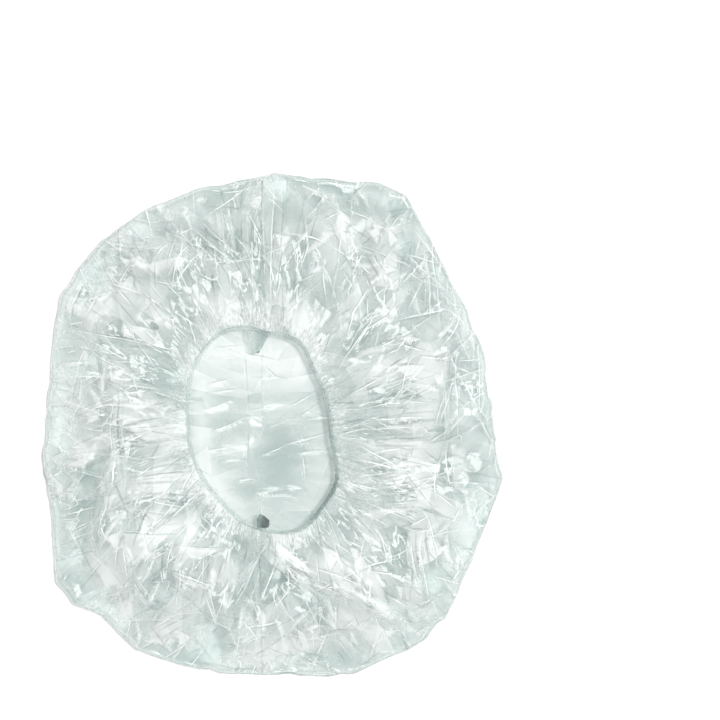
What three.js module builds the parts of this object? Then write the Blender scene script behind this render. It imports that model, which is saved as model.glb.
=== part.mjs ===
// A clear film shower cap, lying on its crown with the gathered mouth up.
// Two film panels are welded along one seam that runs from the back of the mouth, over the outer edge,
// under the crown and up to the front of the mouth. Each panel ends in a folded hem with an elastic
// inside, and the hems and elastics of both panels are welded together in a small tab at each end.
// Millimetres, +Z up, +Y to the back of the cap, origin on the table under the middle of the cap.

import * as THREE from 'three';

// The lying cap
const CAP_WIDTH = 194;
const CAP_LENGTH = 214;
const EDGE_HEIGHT = 8;
const PUFF_HEIGHT = 22;
const FILM_THICKNESS = 0.8;

// The mouth, at the middle of its hem
const MOUTH_WIDTH = 58;
const MOUTH_LENGTH = 85;
const MOUTH_TILT = 13;
const MOUTH_ROUNDNESS = 2.3;
const MOUTH_X = -4.8;
const MOUTH_Y = -2;
const RIM_HEIGHT = 15;

// The elastic and the hem folded round it
const ELASTIC_WIDTH = 3;
const ELASTIC_THICKNESS = 0.6;
const HEM_CLEARANCE = 0.3;
const HEM_WALL = 0.4;

// The welded seam, and the tab at each end of it
const SEAM_WIDTH = 2;
const TAB_LENGTH = 6;
const TAB_TIP_HEIGHT = 2.6;

// The gathers: half the height of a gather where it meets the hem, and the stations that draw it
const GATHER_DEPTH = 1.3;
const STATION_STEP = 8.2;
const STATIONS_PER_GATHER = 4;

// The main folds of the film between the outer edge and the hem: half the width of a fold, its height,
// and the distance in which it dies out before the hem
const FOLD_REACH = 9.5;
const FOLD_HEIGHT = 3.4;
const FOLD_FADE = 7;

// The crumple between the folds: the length and width of a facet, half its height, and the way it is turned
const FACET_LENGTH = 24;
const FACET_WIDTH = 18;
const FACET_HEIGHT = 2.6;
const FACET_TURN = 63;

// The gap between neighbouring pieces
const FIT_GAP = 0.3;

// The outline seen from above, as corners in shares of half the width and half the length
const OUTLINE = [
  [1, -0.21], [0.922, 0.273], [0.848, 0.447], [0.647, 0.81], [0.582, 0.913], [0.468, 0.96],
  [0, 1], [-0.333, 0.937], [-0.551, 0.862], [-0.73, 0.735], [-0.878, 0.581], [-0.935, 0.49],
  [-0.98, 0.19], [-1, -0.119], [-0.974, -0.289], [-0.939, -0.621], [-0.869, -0.708],
  [-0.752, -0.755], [-0.577, -0.909], [-0.233, -0.988], [0.233, -1], [0.355, -0.988],
  [0.569, -0.895], [0.678, -0.846], [0.756, -0.763], [0.943, -0.379],
];

// The main folds seen from above: both ends in shares of half the width and half the length, and the rise
// in shares of the fold's height, below zero for a valley
const FOLDS = [
  [-0.01, -0.43, -0.23, -0.77, 1.4], [0.02, -0.45, 0.64, -0.82, 1.3], [-0.64, -0.06, -0.76, -0.54, 1.7],
  [-0.95, 0.07, -0.52, -0.04, 0.8], [-0.89, 0.49, -0.45, 0.28, 1], [-0.6, 0.73, -0.14, 0.52, 1],
  [-0.05, 0.97, -0.05, 0.43, -0.9], [0.08, 0.92, 0.31, 0.41, 1], [0.45, 0.82, 0.54, 0.37, 0.9],
  [0.31, 0.28, 0.91, 0.39, 0.9], [0.35, 0.04, 0.95, -0.07, 1.05], [0.35, -0.28, 0.87, -0.41, 1],
  [-0.37, -0.37, -0.68, -0.75, 1], [-0.25, -0.49, -0.35, -0.92, 0.9], [0.25, -0.5, 0.31, -0.93, -1.3],
  [-0.82, 0.22, -0.43, 0.13, -0.9], [-0.74, 0.62, -0.41, 0.43, -0.8], [0.27, 0.86, 0.41, 0.47, -0.8],
  [0.66, 0.62, 0.87, 0.19, 0.9], [0.41, 0.15, 0.87, 0.17, -0.9], [0.39, -0.13, 0.87, -0.22, -0.9],
  [0.52, -0.49, 0.68, -0.71, 0.9], [-0.87, -0.28, -0.58, -0.34, -0.8], [-0.06, -0.52, -0.1, -0.93, -0.9],
];

// Steps along the film, from the seam under the crown to the hem
const CROWN_STEPS = 2;
const ROLL_STEPS = 4;
const UPPER_STEPS = 8;
const CROWN_START = 0.5;

const hemThickness = ELASTIC_THICKNESS + 2 * (HEM_CLEARANCE + HEM_WALL);
const hemHeight = ELASTIC_WIDTH + 2 * (HEM_CLEARANCE + HEM_WALL);
const rollRadius = (EDGE_HEIGHT - FILM_THICKNESS) / 2;
const halfFilm = FILM_THICKNESS / 2;
const sideOffset = SEAM_WIDTH / 2 + FIT_GAP;
const inOutline = (x, y) => new THREE.Vector2((x * CAP_WIDTH) / 2, (y * CAP_LENGTH) / 2);
const outline = OUTLINE.map(([x, y]) => inOutline(x, y));
const folds = FOLDS.map(([startX, startY, endX, endY, rise]) => {
  const start = inOutline(startX, startY);
  const end = inOutline(endX, endY);
  const half = end.distanceTo(start) / 2;
  const way = end.clone().sub(start).normalize();
  return { middle: start.lerp(end, 0.5), way, half, height: rise * FOLD_HEIGHT };
});

const filmLook = { color: 0xdbe5e3, roughness: 0.12, metalness: 0, transparent: true, opacity: 0.45 };
const hemLook = { color: 0xcfdcd8, roughness: 0.25, metalness: 0, transparent: true, opacity: 0.6 };
const elasticLook = { color: 0xe4e9e6, roughness: 0.55, metalness: 0 };
const weldLook = { color: 0xb9c9c4, roughness: 0.3, metalness: 0, transparent: true, opacity: 0.75 };

// Distance from a point inside the outline to the outline, along a direction.
function reachOutline(origin, direction) {
  let reach = Infinity;
  for (let i = 0; i < outline.length; i += 1) {
    const corner = outline[i];
    const edge = outline[(i + 1) % outline.length].clone().sub(corner);
    const away = corner.clone().sub(origin);
    const turn = direction.cross(edge);
    if (Math.abs(turn) < 1e-9) continue;
    const along = away.cross(edge) / turn;
    const share = away.cross(direction) / turn;
    if (along > 0 && share >= 0 && share <= 1) reach = Math.min(reach, along);
  }
  return reach;
}

// How far out a point lies from the mouth's middle: 1 on the mouth, a tilted oval with full corners.
function mouthLevel(point) {
  const local = point.clone().sub(new THREE.Vector2(MOUTH_X, MOUTH_Y));
  local.rotateAround(new THREE.Vector2(), -THREE.MathUtils.degToRad(MOUTH_TILT));
  const across = (2 * Math.abs(local.x)) / MOUTH_WIDTH;
  const along = (2 * Math.abs(local.y)) / MOUTH_LENGTH;
  return across ** MOUTH_ROUNDNESS + along ** MOUTH_ROUNDNESS;
}

// Distance from a point inside the mouth to the mouth, along a direction, found by halving.
function reachMouth(origin, direction) {
  let near = 0;
  let far = MOUTH_WIDTH + MOUTH_LENGTH;
  for (let step = 0; step < 60; step += 1) {
    const middle = (near + far) / 2;
    const inside = mouthLevel(origin.clone().addScaledVector(direction, middle)) < 1;
    near = inside ? middle : near;
    far = inside ? far : middle;
  }
  return near;
}

// How far the main folds lift the film at a point seen from above. Each is a flat-sided ridge or valley
// that runs out towards its ends.
function foldRise(point) {
  let total = 0;
  for (const { middle, way, half, height } of folds) {
    const away = point.clone().sub(middle);
    const along = away.dot(way) / half;
    const aside = Math.abs(away.cross(way)) / FOLD_REACH;
    total += height * Math.max(0, 1 - along * along - aside);
  }
  return total;
}

// The height of a corner in a crumple's lattice, from -1 to 1 in no plain order.
function cornerHeight(i, j, kind) {
  return Math.sin(2.7 * i * i + 1.9 * j * j + 4.3 * i * j + 1.7 * kind * (i + 2 * j) + kind);
}

// A crumple's height at a place in its lattice: flat triangles between the corners, two to each square.
function latticeHeight(a, b, kind) {
  const i = Math.floor(a);
  const j = Math.floor(b);
  const s = a - i;
  const t = b - j;
  const near = cornerHeight(i, j, kind);
  const far = cornerHeight(i + 1, j + 1, kind);
  if (s > t) return near * (1 - s) + cornerHeight(i + 1, j, kind) * (s - t) + far * t;
  return near * (1 - t) + cornerHeight(i, j + 1, kind) * (t - s) + far * s;
}

// How far the crumple lifts the film at a point seen from above. Two more lattices push its places about,
// so that no facet is like the next.
function crumpleRise(point) {
  const turned = point.clone().rotateAround(new THREE.Vector2(), -THREE.MathUtils.degToRad(FACET_TURN));
  const a = turned.x / FACET_LENGTH;
  const b = turned.y / FACET_WIDTH;
  const pushA = latticeHeight(a + 0.5, b, 1);
  const pushB = latticeHeight(a, b + 0.5, 2);
  return FACET_HEIGHT * latticeHeight(a + pushA / 2, b + pushB / 2, 0);
}

// The film's path in one upright plane, from the crown's edge round the outer roll and up to the hem,
// as pairs of distance from the middle and height. wave lifts or lowers the gathers, from -1 to 1.
function filmPath({ origin, direction, reach, mouth }, wave) {
  const rollCentre = reach - halfFilm - rollRadius;
  const path = [];
  for (let step = 0; step <= ROLL_STEPS; step += 1) {
    const angle = Math.PI * (step / ROLL_STEPS - 0.5);
    path.push([rollCentre + rollRadius * Math.cos(angle), halfFilm + rollRadius * (1 + Math.sin(angle))]);
  }
  const edgeTop = EDGE_HEIGHT - halfFilm;
  const hemSide = mouth + hemThickness / 2 + FIT_GAP;
  const swell = PUFF_HEIGHT - halfFilm - (edgeTop + RIM_HEIGHT) / 2;
  for (let step = 1; step <= UPPER_STEPS; step += 1) {
    const share = step / UPPER_STEPS;
    const level = THREE.MathUtils.lerp(edgeTop, RIM_HEIGHT, THREE.MathUtils.smoothstep(share, 0, 1));
    const distance = THREE.MathUtils.lerp(rollCentre, hemSide, share);
    const puff = swell * Math.sin(Math.PI * share);
    const point = origin.clone().addScaledVector(direction, distance);
    const foldShare = 1 - Math.exp((hemSide - distance) / FOLD_FADE);
    const fold = foldShare * (foldRise(point) + crumpleRise(point));
    const gather = GATHER_DEPTH * wave * share ** 2;
    path.push([distance, level + puff + fold + gather]);
  }
  return path;
}

// Stations round one side of the cap, from the back end of the seam to the front end: each is a plane
// through the side's middle, with its direction and its reach to the outline and to the mouth.
function stationsOf(side) {
  const origin = new THREE.Vector2(MOUTH_X + side * sideOffset, MOUTH_Y);
  const back = new THREE.Vector2(0, 1);
  const front = new THREE.Vector2(0, -1);
  const turnOf = (corner) => Math.atan2(side * (corner.x - origin.x), corner.y - origin.y);
  const corners = outline.filter((corner) => side * (corner.x - origin.x) > FIT_GAP);
  corners.sort((first, second) => turnOf(first) - turnOf(second));
  corners.unshift(origin.clone().addScaledVector(back, reachOutline(origin, back)));
  corners.push(origin.clone().addScaledVector(front, reachOutline(origin, front)));
  const rim = [];
  for (let i = 0; i + 1 < corners.length; i += 1) {
    const steps = Math.max(1, Math.round(corners[i].distanceTo(corners[i + 1]) / STATION_STEP));
    for (let step = 0; step < steps; step += 1) {
      rim.push(corners[i].clone().lerp(corners[i + 1], step / steps));
    }
  }
  rim.push(corners[corners.length - 1]);
  return rim.map((point) => {
    const direction = point.clone().sub(origin);
    const reach = direction.length();
    direction.divideScalar(reach);
    return { origin, direction, reach, mouth: reachMouth(origin, direction) };
  });
}

// A point in a station's plane.
function pointAt(station, distance, height) {
  const flat = station.origin.clone().addScaledVector(station.direction, distance);
  return new THREE.Vector3(flat.x, flat.y, height);
}

// A closed solid between two skins, which are grids of points of the same size. Where the grid's rows are
// closed loops, only their first and last loops are joined; otherwise all four borders are.
function solidBetween(front, back, looped) {
  const rows = front.length;
  const columns = front[0].length;
  const positions = [...front.flat(), ...back.flat()].flatMap((point) => point.toArray());
  const place = (skin, row, column) => skin * rows * columns + row * columns + (column % columns);
  const index = [];
  const addQuad = (a, b, c, d) => index.push(a, b, c, a, c, d);
  const spans = looped ? columns : columns - 1;
  for (let row = 0; row + 1 < rows; row += 1) {
    for (let column = 0; column < spans; column += 1) {
      const next = column + 1;
      addQuad(place(0, row, column), place(0, row + 1, column), place(0, row + 1, next), place(0, row, next));
      addQuad(place(1, row, column), place(1, row, next), place(1, row + 1, next), place(1, row + 1, column));
    }
    if (looped) continue;
    const last = columns - 1;
    addQuad(place(0, row, 0), place(1, row, 0), place(1, row + 1, 0), place(0, row + 1, 0));
    addQuad(place(0, row, last), place(0, row + 1, last), place(1, row + 1, last), place(1, row, last));
  }
  for (let column = 0; column < spans; column += 1) {
    const next = column + 1;
    const end = rows - 1;
    addQuad(place(0, 0, column), place(0, 0, next), place(1, 0, next), place(1, 0, column));
    addQuad(place(0, end, column), place(1, end, column), place(1, end, next), place(0, end, next));
  }
  const geometry = new THREE.BufferGeometry();
  geometry.setAttribute('position', new THREE.Float32BufferAttribute(positions, 3));
  geometry.setIndex(signedVolume(positions, index) < 0 ? index.reverse() : index);
  geometry.computeVertexNormals();
  return geometry;
}

// The volume inside a triangle list, below zero where its faces point in.
function signedVolume(positions, index) {
  const corner = (i) => new THREE.Vector3().fromArray(positions, 3 * index[i]);
  let volume = 0;
  for (let i = 0; i < index.length; i += 3) {
    volume += corner(i).dot(corner(i + 1).cross(corner(i + 2))) / 6;
  }
  return volume;
}

// One film panel: from the seam under the crown, along the table, round the outer edge and up to the hem.
function filmPanel(stations) {
  const backReach = stations[0].reach;
  const frontReach = stations[stations.length - 1].reach;
  const middle = stations.map((station, i) => {
    const ends = Math.min(1, (2 * i) / STATIONS_PER_GATHER);
    const wave = ends * Math.sin((2 * Math.PI * i) / STATIONS_PER_GATHER);
    const path = filmPath(station, wave);
    const seamReach = station.direction.y > 0 ? backReach : frontReach;
    const start = station.origin.clone();
    start.y += CROWN_START * seamReach * station.direction.y;
    const crownStart = new THREE.Vector3(start.x, start.y, halfFilm);
    const crownEdge = pointAt(station, path[0][0], halfFilm);
    const row = [];
    for (let step = 0; step < CROWN_STEPS; step += 1) {
      row.push(crownStart.clone().lerp(crownEdge, step / CROWN_STEPS));
    }
    for (const [distance, height] of path) row.push(pointAt(station, distance, height));
    return row;
  });
  const skin = (lift) => middle.map((row, i) => row.map((point, k) => (
    point.clone().addScaledVector(filmNormal(middle, stations, i, k), lift)
  )));
  return solidBetween(skin(halfFilm), skin(-halfFilm), false);
}

// The film's normal at a grid point. At the seam it stays in the seam's plane, and at the hem it stays
// square to the station's direction, so the film's ends are flat against their neighbours.
function filmNormal(grid, stations, i, k) {
  const last = grid.length - 1;
  const inner = grid[0].length - 1;
  const round = grid[Math.min(i + 1, last)][k].clone().sub(grid[Math.max(i - 1, 0)][k]);
  const along = grid[i][Math.min(k + 1, inner)].clone().sub(grid[i][Math.max(k - 1, 0)]);
  const normal = round.cross(along);
  const { direction } = stations[i];
  if (k === inner) normal.addScaledVector(new THREE.Vector3(direction.x, direction.y, 0), -normal.dot(
    new THREE.Vector3(direction.x, direction.y, 0),
  ));
  if (i === 0 || i === last) normal.x = 0;
  return normal.normalize();
}

// A band's section round the middle of the hem, as pairs of distance and height: flat sides, and a fold
// along the top and the bottom.
function bandSection(thickness, height) {
  const x = thickness / 2;
  const z = height / 2;
  const sideHigh = z - x;
  return [[x, -sideHigh], [x, sideHigh], [0, z], [-x, sideHigh], [-x, -sideHigh], [0, -z]];
}

// The rows of points that carry a band's section round one side of the mouth.
function bandRows(stations, section) {
  return stations.map((station) => section.map(
    ([distance, height]) => pointAt(station, station.mouth + distance, RIM_HEIGHT + height),
  ));
}

// The hem: the film's edge folded over into a flat channel, open at both ends.
function hemBand(stations) {
  const outer = bandSection(hemThickness, hemHeight);
  const channel = bandSection(hemThickness - 2 * HEM_WALL, hemHeight - 2 * HEM_WALL);
  return solidBetween(bandRows(stations, outer), bandRows(stations, channel), true);
}

// The elastic: a flat strand, on edge inside the hem.
function elasticStrand(stations) {
  const x = ELASTIC_THICKNESS / 2;
  const z = ELASTIC_WIDTH / 2;
  return solidBetween(
    bandRows(stations, [[x, -z], [x, z]]),
    bandRows(stations, [[-x, -z], [-x, z]]),
    false,
  );
}

// Stands a flat shape on edge in the seam's plane: its x runs to the back and its y runs up.
function standInSeam(shape) {
  const geometry = new THREE.ExtrudeGeometry(shape, { depth: SEAM_WIDTH, bevelEnabled: false });
  const upright = new THREE.Matrix4().makeBasis(
    new THREE.Vector3(0, 1, 0),
    new THREE.Vector3(0, 0, 1),
    new THREE.Vector3(1, 0, 0),
  );
  upright.setPosition(MOUTH_X - SEAM_WIDTH / 2, MOUTH_Y, 0);
  return geometry.applyMatrix4(upright);
}

const seamMiddle = new THREE.Vector2(MOUTH_X, MOUTH_Y);

// The seam's plane, to the back (+1) or to the front (-1), with its reach to the outline and to the mouth.
function seamStation(end) {
  const direction = new THREE.Vector2(0, end);
  const reach = reachOutline(seamMiddle, direction);
  return { origin: seamMiddle, direction, reach, mouth: reachMouth(seamMiddle, direction) };
}

// The seam: one welded strip from the back of the mouth, under the crown, to the front of the mouth.
function crownSeam() {
  const half = (end) => {
    const path = filmPath(seamStation(end), 0);
    return path.map(([distance, height]) => new THREE.Vector2(end * distance, height));
  };
  const path = [...half(1).reverse(), ...half(-1)];
  const skin = (lift) => path.map((point, i) => {
    const along = path[Math.min(i + 1, path.length - 1)].clone().sub(path[Math.max(i - 1, 0)]).normalize();
    const isEnd = i === 0 || i === path.length - 1;
    const normal = isEnd ? new THREE.Vector2(0, Math.sign(-along.x)) : new THREE.Vector2(along.y, -along.x);
    return point.clone().addScaledVector(normal, lift);
  });
  return standInSeam(new THREE.Shape([...skin(halfFilm), ...skin(-halfFilm).reverse()]));
}

// A tab: the welded and trimmed ends of both hems, on edge, reaching into the mouth.
function seamTab(end) {
  const { mouth } = seamStation(end);
  const outside = mouth + hemThickness / 2;
  const root = mouth - hemThickness / 2;
  const tip = root - TAB_LENGTH;
  const high = RIM_HEIGHT + hemHeight / 2;
  const low = RIM_HEIGHT - hemHeight / 2;
  const tipHigh = RIM_HEIGHT + TAB_TIP_HEIGHT / 2;
  const tipLow = RIM_HEIGHT - TAB_TIP_HEIGHT / 2;
  return standInSeam(new THREE.Shape([
    new THREE.Vector2(end * outside, low),
    new THREE.Vector2(end * outside, high),
    new THREE.Vector2(end * root, high),
    new THREE.Vector2(end * tip, tipHigh),
    new THREE.Vector2(end * tip, tipLow),
    new THREE.Vector2(end * root, low),
  ]));
}

function named(name, geometry, look) {
  const mesh = new THREE.Mesh(geometry, new THREE.MeshStandardMaterial(look));
  mesh.name = name;
  return mesh;
}

const cap = new THREE.Group();
cap.add(named('crown_seam', crownSeam(), weldLook));
cap.add(named('back_tab', seamTab(1), weldLook));
cap.add(named('front_tab', seamTab(-1), weldLook));
for (const [word, side] of [['left', -1], ['right', 1]]) {
  const stations = stationsOf(side);
  cap.add(named(`${word}_film`, filmPanel(stations), filmLook));
  cap.add(named(`${word}_hem`, hemBand(stations), hemLook));
  cap.add(named(`${word}_elastic`, elasticStrand(stations), elasticLook));
}

export default cap;
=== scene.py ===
# %% [markdown]
# # A clear film shower cap
# The cap lies on its crown with the gathered mouth up. It is two panels of thin clear film, welded
# along one seam, with a folded hem and an elastic strand round the mouth.
# Thin film is hard to fake with a smooth shape: what the eye reads is the crumple, flat little facets with
# sharp creases that each mirror another part of the room. So the film here is one surface worked out as
# whole arrays, with the folds in its mesh. The material adds what is finer than the mesh, and it also
# paints sheen, glints and shade onto the film.

# %% Load the imported part
import math
from types import SimpleNamespace

import bpy
import numpy as np
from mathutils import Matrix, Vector


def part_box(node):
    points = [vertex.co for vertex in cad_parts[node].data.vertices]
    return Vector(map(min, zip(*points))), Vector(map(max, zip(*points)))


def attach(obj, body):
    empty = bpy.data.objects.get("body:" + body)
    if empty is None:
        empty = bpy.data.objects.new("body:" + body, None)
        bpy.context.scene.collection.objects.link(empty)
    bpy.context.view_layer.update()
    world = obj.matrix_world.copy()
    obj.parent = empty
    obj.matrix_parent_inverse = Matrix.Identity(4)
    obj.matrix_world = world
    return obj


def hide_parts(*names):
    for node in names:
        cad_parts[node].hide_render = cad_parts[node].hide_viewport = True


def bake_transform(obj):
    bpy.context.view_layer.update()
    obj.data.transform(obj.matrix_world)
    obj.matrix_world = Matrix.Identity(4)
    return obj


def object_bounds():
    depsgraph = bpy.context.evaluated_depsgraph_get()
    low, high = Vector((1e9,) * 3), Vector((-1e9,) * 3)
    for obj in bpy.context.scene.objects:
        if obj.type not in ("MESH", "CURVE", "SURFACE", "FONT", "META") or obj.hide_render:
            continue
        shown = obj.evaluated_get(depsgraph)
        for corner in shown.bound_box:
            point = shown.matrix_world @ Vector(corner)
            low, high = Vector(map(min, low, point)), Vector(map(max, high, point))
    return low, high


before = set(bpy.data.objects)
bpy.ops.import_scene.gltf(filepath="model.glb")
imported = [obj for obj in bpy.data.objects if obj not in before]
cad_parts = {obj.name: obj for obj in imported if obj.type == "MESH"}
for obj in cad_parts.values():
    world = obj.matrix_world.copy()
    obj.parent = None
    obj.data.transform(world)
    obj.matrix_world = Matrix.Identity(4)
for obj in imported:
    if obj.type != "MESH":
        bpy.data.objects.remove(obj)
cad_box = [list(corner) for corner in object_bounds()]

# %% [markdown]
# The sizes come from the part's own boxes, in millimetres here because a film's folds are easier to
# think of in millimetres. Only the mesh helper turns them into metres.

# %% Sizes from the frame
MM = 0.001
TINY = 1e-9


def node_box(node):
    """A node's lowest and highest corners in millimetres."""
    low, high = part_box(node)
    return np.array(low) / MM, np.array(high) / MM


cap_low, cap_high = (np.array(corner) / MM for corner in cad_box)
cap_width = cap_high[0] - cap_low[0]
cap_length = cap_high[1] - cap_low[1]
seam_low, seam_high = node_box("crown_seam")
seam_x = (seam_low[0] + seam_high[0]) / 2
seam_width = seam_high[0] - seam_low[0]
left_low, left_high = node_box("left_hem")
right_low, right_high = node_box("right_hem")
rim_height = (left_low[2] + left_high[2]) / 2
hem_height = left_high[2] - left_low[2]
mouth_centre = np.array([seam_x, (left_low[1] + left_high[1] + right_low[1] + right_high[1]) / 4])
HEM_THICKNESS = 2.0
MOUTH_WIDTH = 58.0
MOUTH_LENGTH = 85.0
MOUTH_TILT = math.radians(13)
MOUTH_ROUNDNESS = 2.3
print("cap", cap_width.round(1), "by", cap_length.round(1), "mm, rim at", rim_height.round(1))

# %% [markdown]
# Seen from above, the lying cap has a many-cornered outline, because the film pulls straight between
# a few stiff folds. The corners are shares of half the width and half the length, as in the solids.

# %% The outline and the mouth
OUTLINE = np.array([
    (1, -0.21), (0.922, 0.273), (0.848, 0.447), (0.647, 0.81), (0.582, 0.913), (0.468, 0.96),
    (0, 1), (-0.333, 0.937), (-0.551, 0.862), (-0.73, 0.735), (-0.878, 0.581), (-0.935, 0.49),
    (-0.98, 0.19), (-1, -0.119), (-0.974, -0.289), (-0.939, -0.621), (-0.869, -0.708),
    (-0.752, -0.755), (-0.577, -0.909), (-0.233, -0.988), (0.233, -1), (0.355, -0.988),
    (0.569, -0.895), (0.678, -0.846), (0.756, -0.763), (0.943, -0.379),
]) * (cap_width / 2, cap_length / 2)
SEAM_ROOM = 0.3


def even_path(path, steps):
    """Points at even steps along a path of corners, both ends among them."""
    run = np.concatenate([[0], np.cumsum(np.linalg.norm(np.diff(path, axis=0), axis=1))])
    at = np.linspace(0, run[-1], steps + 1)
    return np.stack([np.interp(at, run, column) for column in path.T], 1)


def closed(rows):
    """Rows of a grid with the first one again after the last."""
    return np.concatenate([rows, rows[:1]])


def walk_outline(steps):
    """Points at even steps along the outline, from the back end of the seam round by the left side,
    the front and the right side, with the two halves given the same number of steps."""
    away = OUTLINE - mouth_centre
    turn = np.mod(np.arctan2(-away[:, 0], away[:, 1]), 2 * np.pi)
    corners = OUTLINE[np.argsort(turn)]
    ring = closed(corners)
    aside = ring[:, 0] - seam_x
    cross = np.flatnonzero(aside[:-1] * aside[1:] <= 0)
    share = aside[cross] / (aside[cross] - aside[cross + 1])
    ends = ring[cross] + share[:, None] * (ring[cross + 1] - ring[cross])
    front, back = ends[np.argsort(ends[:, 1])]
    left = np.vstack([back, corners[corners[:, 0] < seam_x - SEAM_ROOM], front])
    right = np.vstack([front, corners[corners[:, 0] > seam_x + SEAM_ROOM], back])
    return np.vstack([even_path(left, steps)[:-1], even_path(right, steps)[:-1]])


# Where the gathers pull the rim out or in: degrees round from the back by the left, half width and push.
RIM_PULLS = (
    (18, 14, 1.4), (105, 18, 1.3), (155, 17, -2.2), (200, 15, 1.6), (236, 13, 2.1), (267, 14, -0.8),
    (336, 10, 2.3), (358, 7, -1.4), (178, 12, -1.3),
)


def mouth_reach(direction):
    """Distance from the mouth's middle to the middle of the hem, along each direction: the mouth is an
    oval with full corners, |across|^n + |along|^n = 1, tilted so that its back end leans left, and each
    pull adds push x exp(-(degrees from it / half width)^2)."""
    across = direction[:, 0] * math.cos(MOUTH_TILT) + direction[:, 1] * math.sin(MOUTH_TILT)
    along = direction[:, 1] * math.cos(MOUTH_TILT) - direction[:, 0] * math.sin(MOUTH_TILT)
    level = np.abs(2 * across / MOUTH_WIDTH) ** MOUTH_ROUNDNESS
    level += np.abs(2 * along / MOUTH_LENGTH) ** MOUTH_ROUNDNESS
    turn = np.degrees(np.arctan2(-direction[:, 0], direction[:, 1]))
    total = level ** (-1 / MOUTH_ROUNDNESS)
    for at, half_width, push in RIM_PULLS:
        gap = np.mod(turn - at + 180, 360) - 180
        total = total + push * np.exp(-(gap / half_width) ** 2)
    return total


# %% [markdown]
# Crumpled film is flat between its creases. A lattice of triangles with a random height at each corner,
# read off linearly inside each triangle, has just that: constant slopes that break at the edges.
# The lattice is bent by two more such lattices, so its rows can't be seen. A single long fold is a
# flat-sided pyramid, which leaves the pointed, lens-shaped glints that crumpled film is full of.

# %% Facets, folds and drifts
LATTICE_SIZE = 64
# Shifts that keep the lattices' own corners away from the cap's middle and from each other.
FACET_SHIFT = (17.3, 9.1)
PUSH_SHIFTS = ((3.1, 5.7), (8.4, 1.9))
DRIFT_SHIFT = (31.7, 23.3)
PUSH_SCALE = 0.8
PUSH_SHARE = 0.55
SHARPEST_SLOPE = 0.5
RIDGE_FADE = 1.4


def ease(value, start, end):
    """0 before start, 1 after end, and smooth between."""
    share = np.clip((value - start) / (end - start), 0, 1)
    return share * share * (3 - 2 * share)


def zigzag(phase):
    """A pleat's section, from -1 to 1: straight flanks, with a sharp ridge at each whole number."""
    return 4 * np.abs(phase - np.floor(phase) - 0.5) - 1


def lattice(a, b, height_at):
    """Heights at whole-number corners, carried linearly over the two triangles of each square."""
    i = np.floor(a).astype(int)
    j = np.floor(b).astype(int)
    s = a - i
    t = b - j
    near = height_at(i, j)
    far = height_at(i + 1, j + 1)
    below = near * (1 - s) + height_at(i + 1, j) * (s - t) + far * t
    above = near * (1 - t) + height_at(i, j + 1) * (t - s) + far * s
    return np.where(s > t, below, above)


def facets(x, y, cell, seed, stretch=1.0, turn=0.0):
    """Crumple of flat facets about one cell across, from -1 to 1: a lattice read at places that two
    other lattices have pushed about. stretch lengthens the cells along the turned x."""
    heights = np.random.default_rng(seed).uniform(-1, 1, (3, LATTICE_SIZE, LATTICE_SIZE))
    a = (x * math.cos(turn) + y * math.sin(turn)) / (cell * stretch) + FACET_SHIFT[0]
    b = (y * math.cos(turn) - x * math.sin(turn)) / cell + FACET_SHIFT[1]

    def corner(number):
        return lambda i, j: heights[number, i % LATTICE_SIZE, j % LATTICE_SIZE]

    push_a, push_b = (
        lattice(PUSH_SCALE * a + shift_a, PUSH_SCALE * b + shift_b, corner(number))
        for number, (shift_a, shift_b) in enumerate(PUSH_SHIFTS)
    )
    return lattice(a + PUSH_SHARE * push_a, b + PUSH_SHARE * push_b, corner(2))


def drift(x, y, cell, seed):
    """A slow change from 0 to 1: random values on a lattice of squares, eased between its corners."""
    values = np.random.default_rng(seed).uniform(0, 1, (LATTICE_SIZE, LATTICE_SIZE))
    a = x / cell + DRIFT_SHIFT[0]
    b = y / cell + DRIFT_SHIFT[1]
    i = np.floor(a).astype(int)
    j = np.floor(b).astype(int)
    s = ease(a - i, 0, 1)
    t = ease(b - j, 0, 1)

    def corner(more_i, more_j):
        return values[(i + more_i) % LATTICE_SIZE, (j + more_j) % LATTICE_SIZE]

    near = corner(0, 0) * (1 - s) + corner(1, 0) * s
    far = corner(0, 1) * (1 - s) + corner(1, 1) * s
    return near * (1 - t) + far * t


def bend(x, y, reach, cell, seed):
    """Places pushed about by two slow drifts, so that straight folds come out a little curved."""
    push_x = reach * (2 * drift(x, y, cell, seed) - 1)
    push_y = reach * (2 * drift(x, y, cell, seed + 1) - 1)
    return x + push_x, y + push_y


def patches(x, y, places):
    """Soft oval patches: each adds strength x exp(-(a^2 + b^2)), a and b counted in its two half widths,
    the first of them turned by so many degrees from the x axis."""
    total = np.zeros_like(x)
    for place_x, place_y, reach_a, reach_b, degrees, strength in places:
        turn = math.radians(degrees)
        a = ((x - place_x) * math.cos(turn) + (y - place_y) * math.sin(turn)) / reach_a
        b = ((y - place_y) * math.cos(turn) - (x - place_x) * math.sin(turn)) / reach_b
        total += strength * np.exp(-a * a - b * b)
    return total


def beside_fold(x, y, start, end):
    """Where points lie by a fold seen from above: how far along from its middle, in half lengths, and how
    far to its left, in millimetres."""
    start = np.array(start, float)
    end = np.array(end, float)
    middle = (start + end) / 2
    half = np.linalg.norm(end - start) / 2
    way = (end - start) / (2 * half)
    along = np.abs((x - middle[0]) * way[0] + (y - middle[1]) * way[1]) / half
    return along, (y - middle[1]) * way[0] - (x - middle[0]) * way[1]


def raise_folds(x, y, folds):
    """Folds as flat-sided ridges: each adds height x (1 - along^2 - aside), never below 0, with along
    counted in half lengths and aside in half widths, so that the ends run out to a point."""
    total = np.zeros_like(x)
    for start, end, width, height in folds:
        along, aside = beside_fold(x, y, start, end)
        total += height * np.maximum(1 - along * along - np.abs(aside) / width, 0)
    return total


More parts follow.
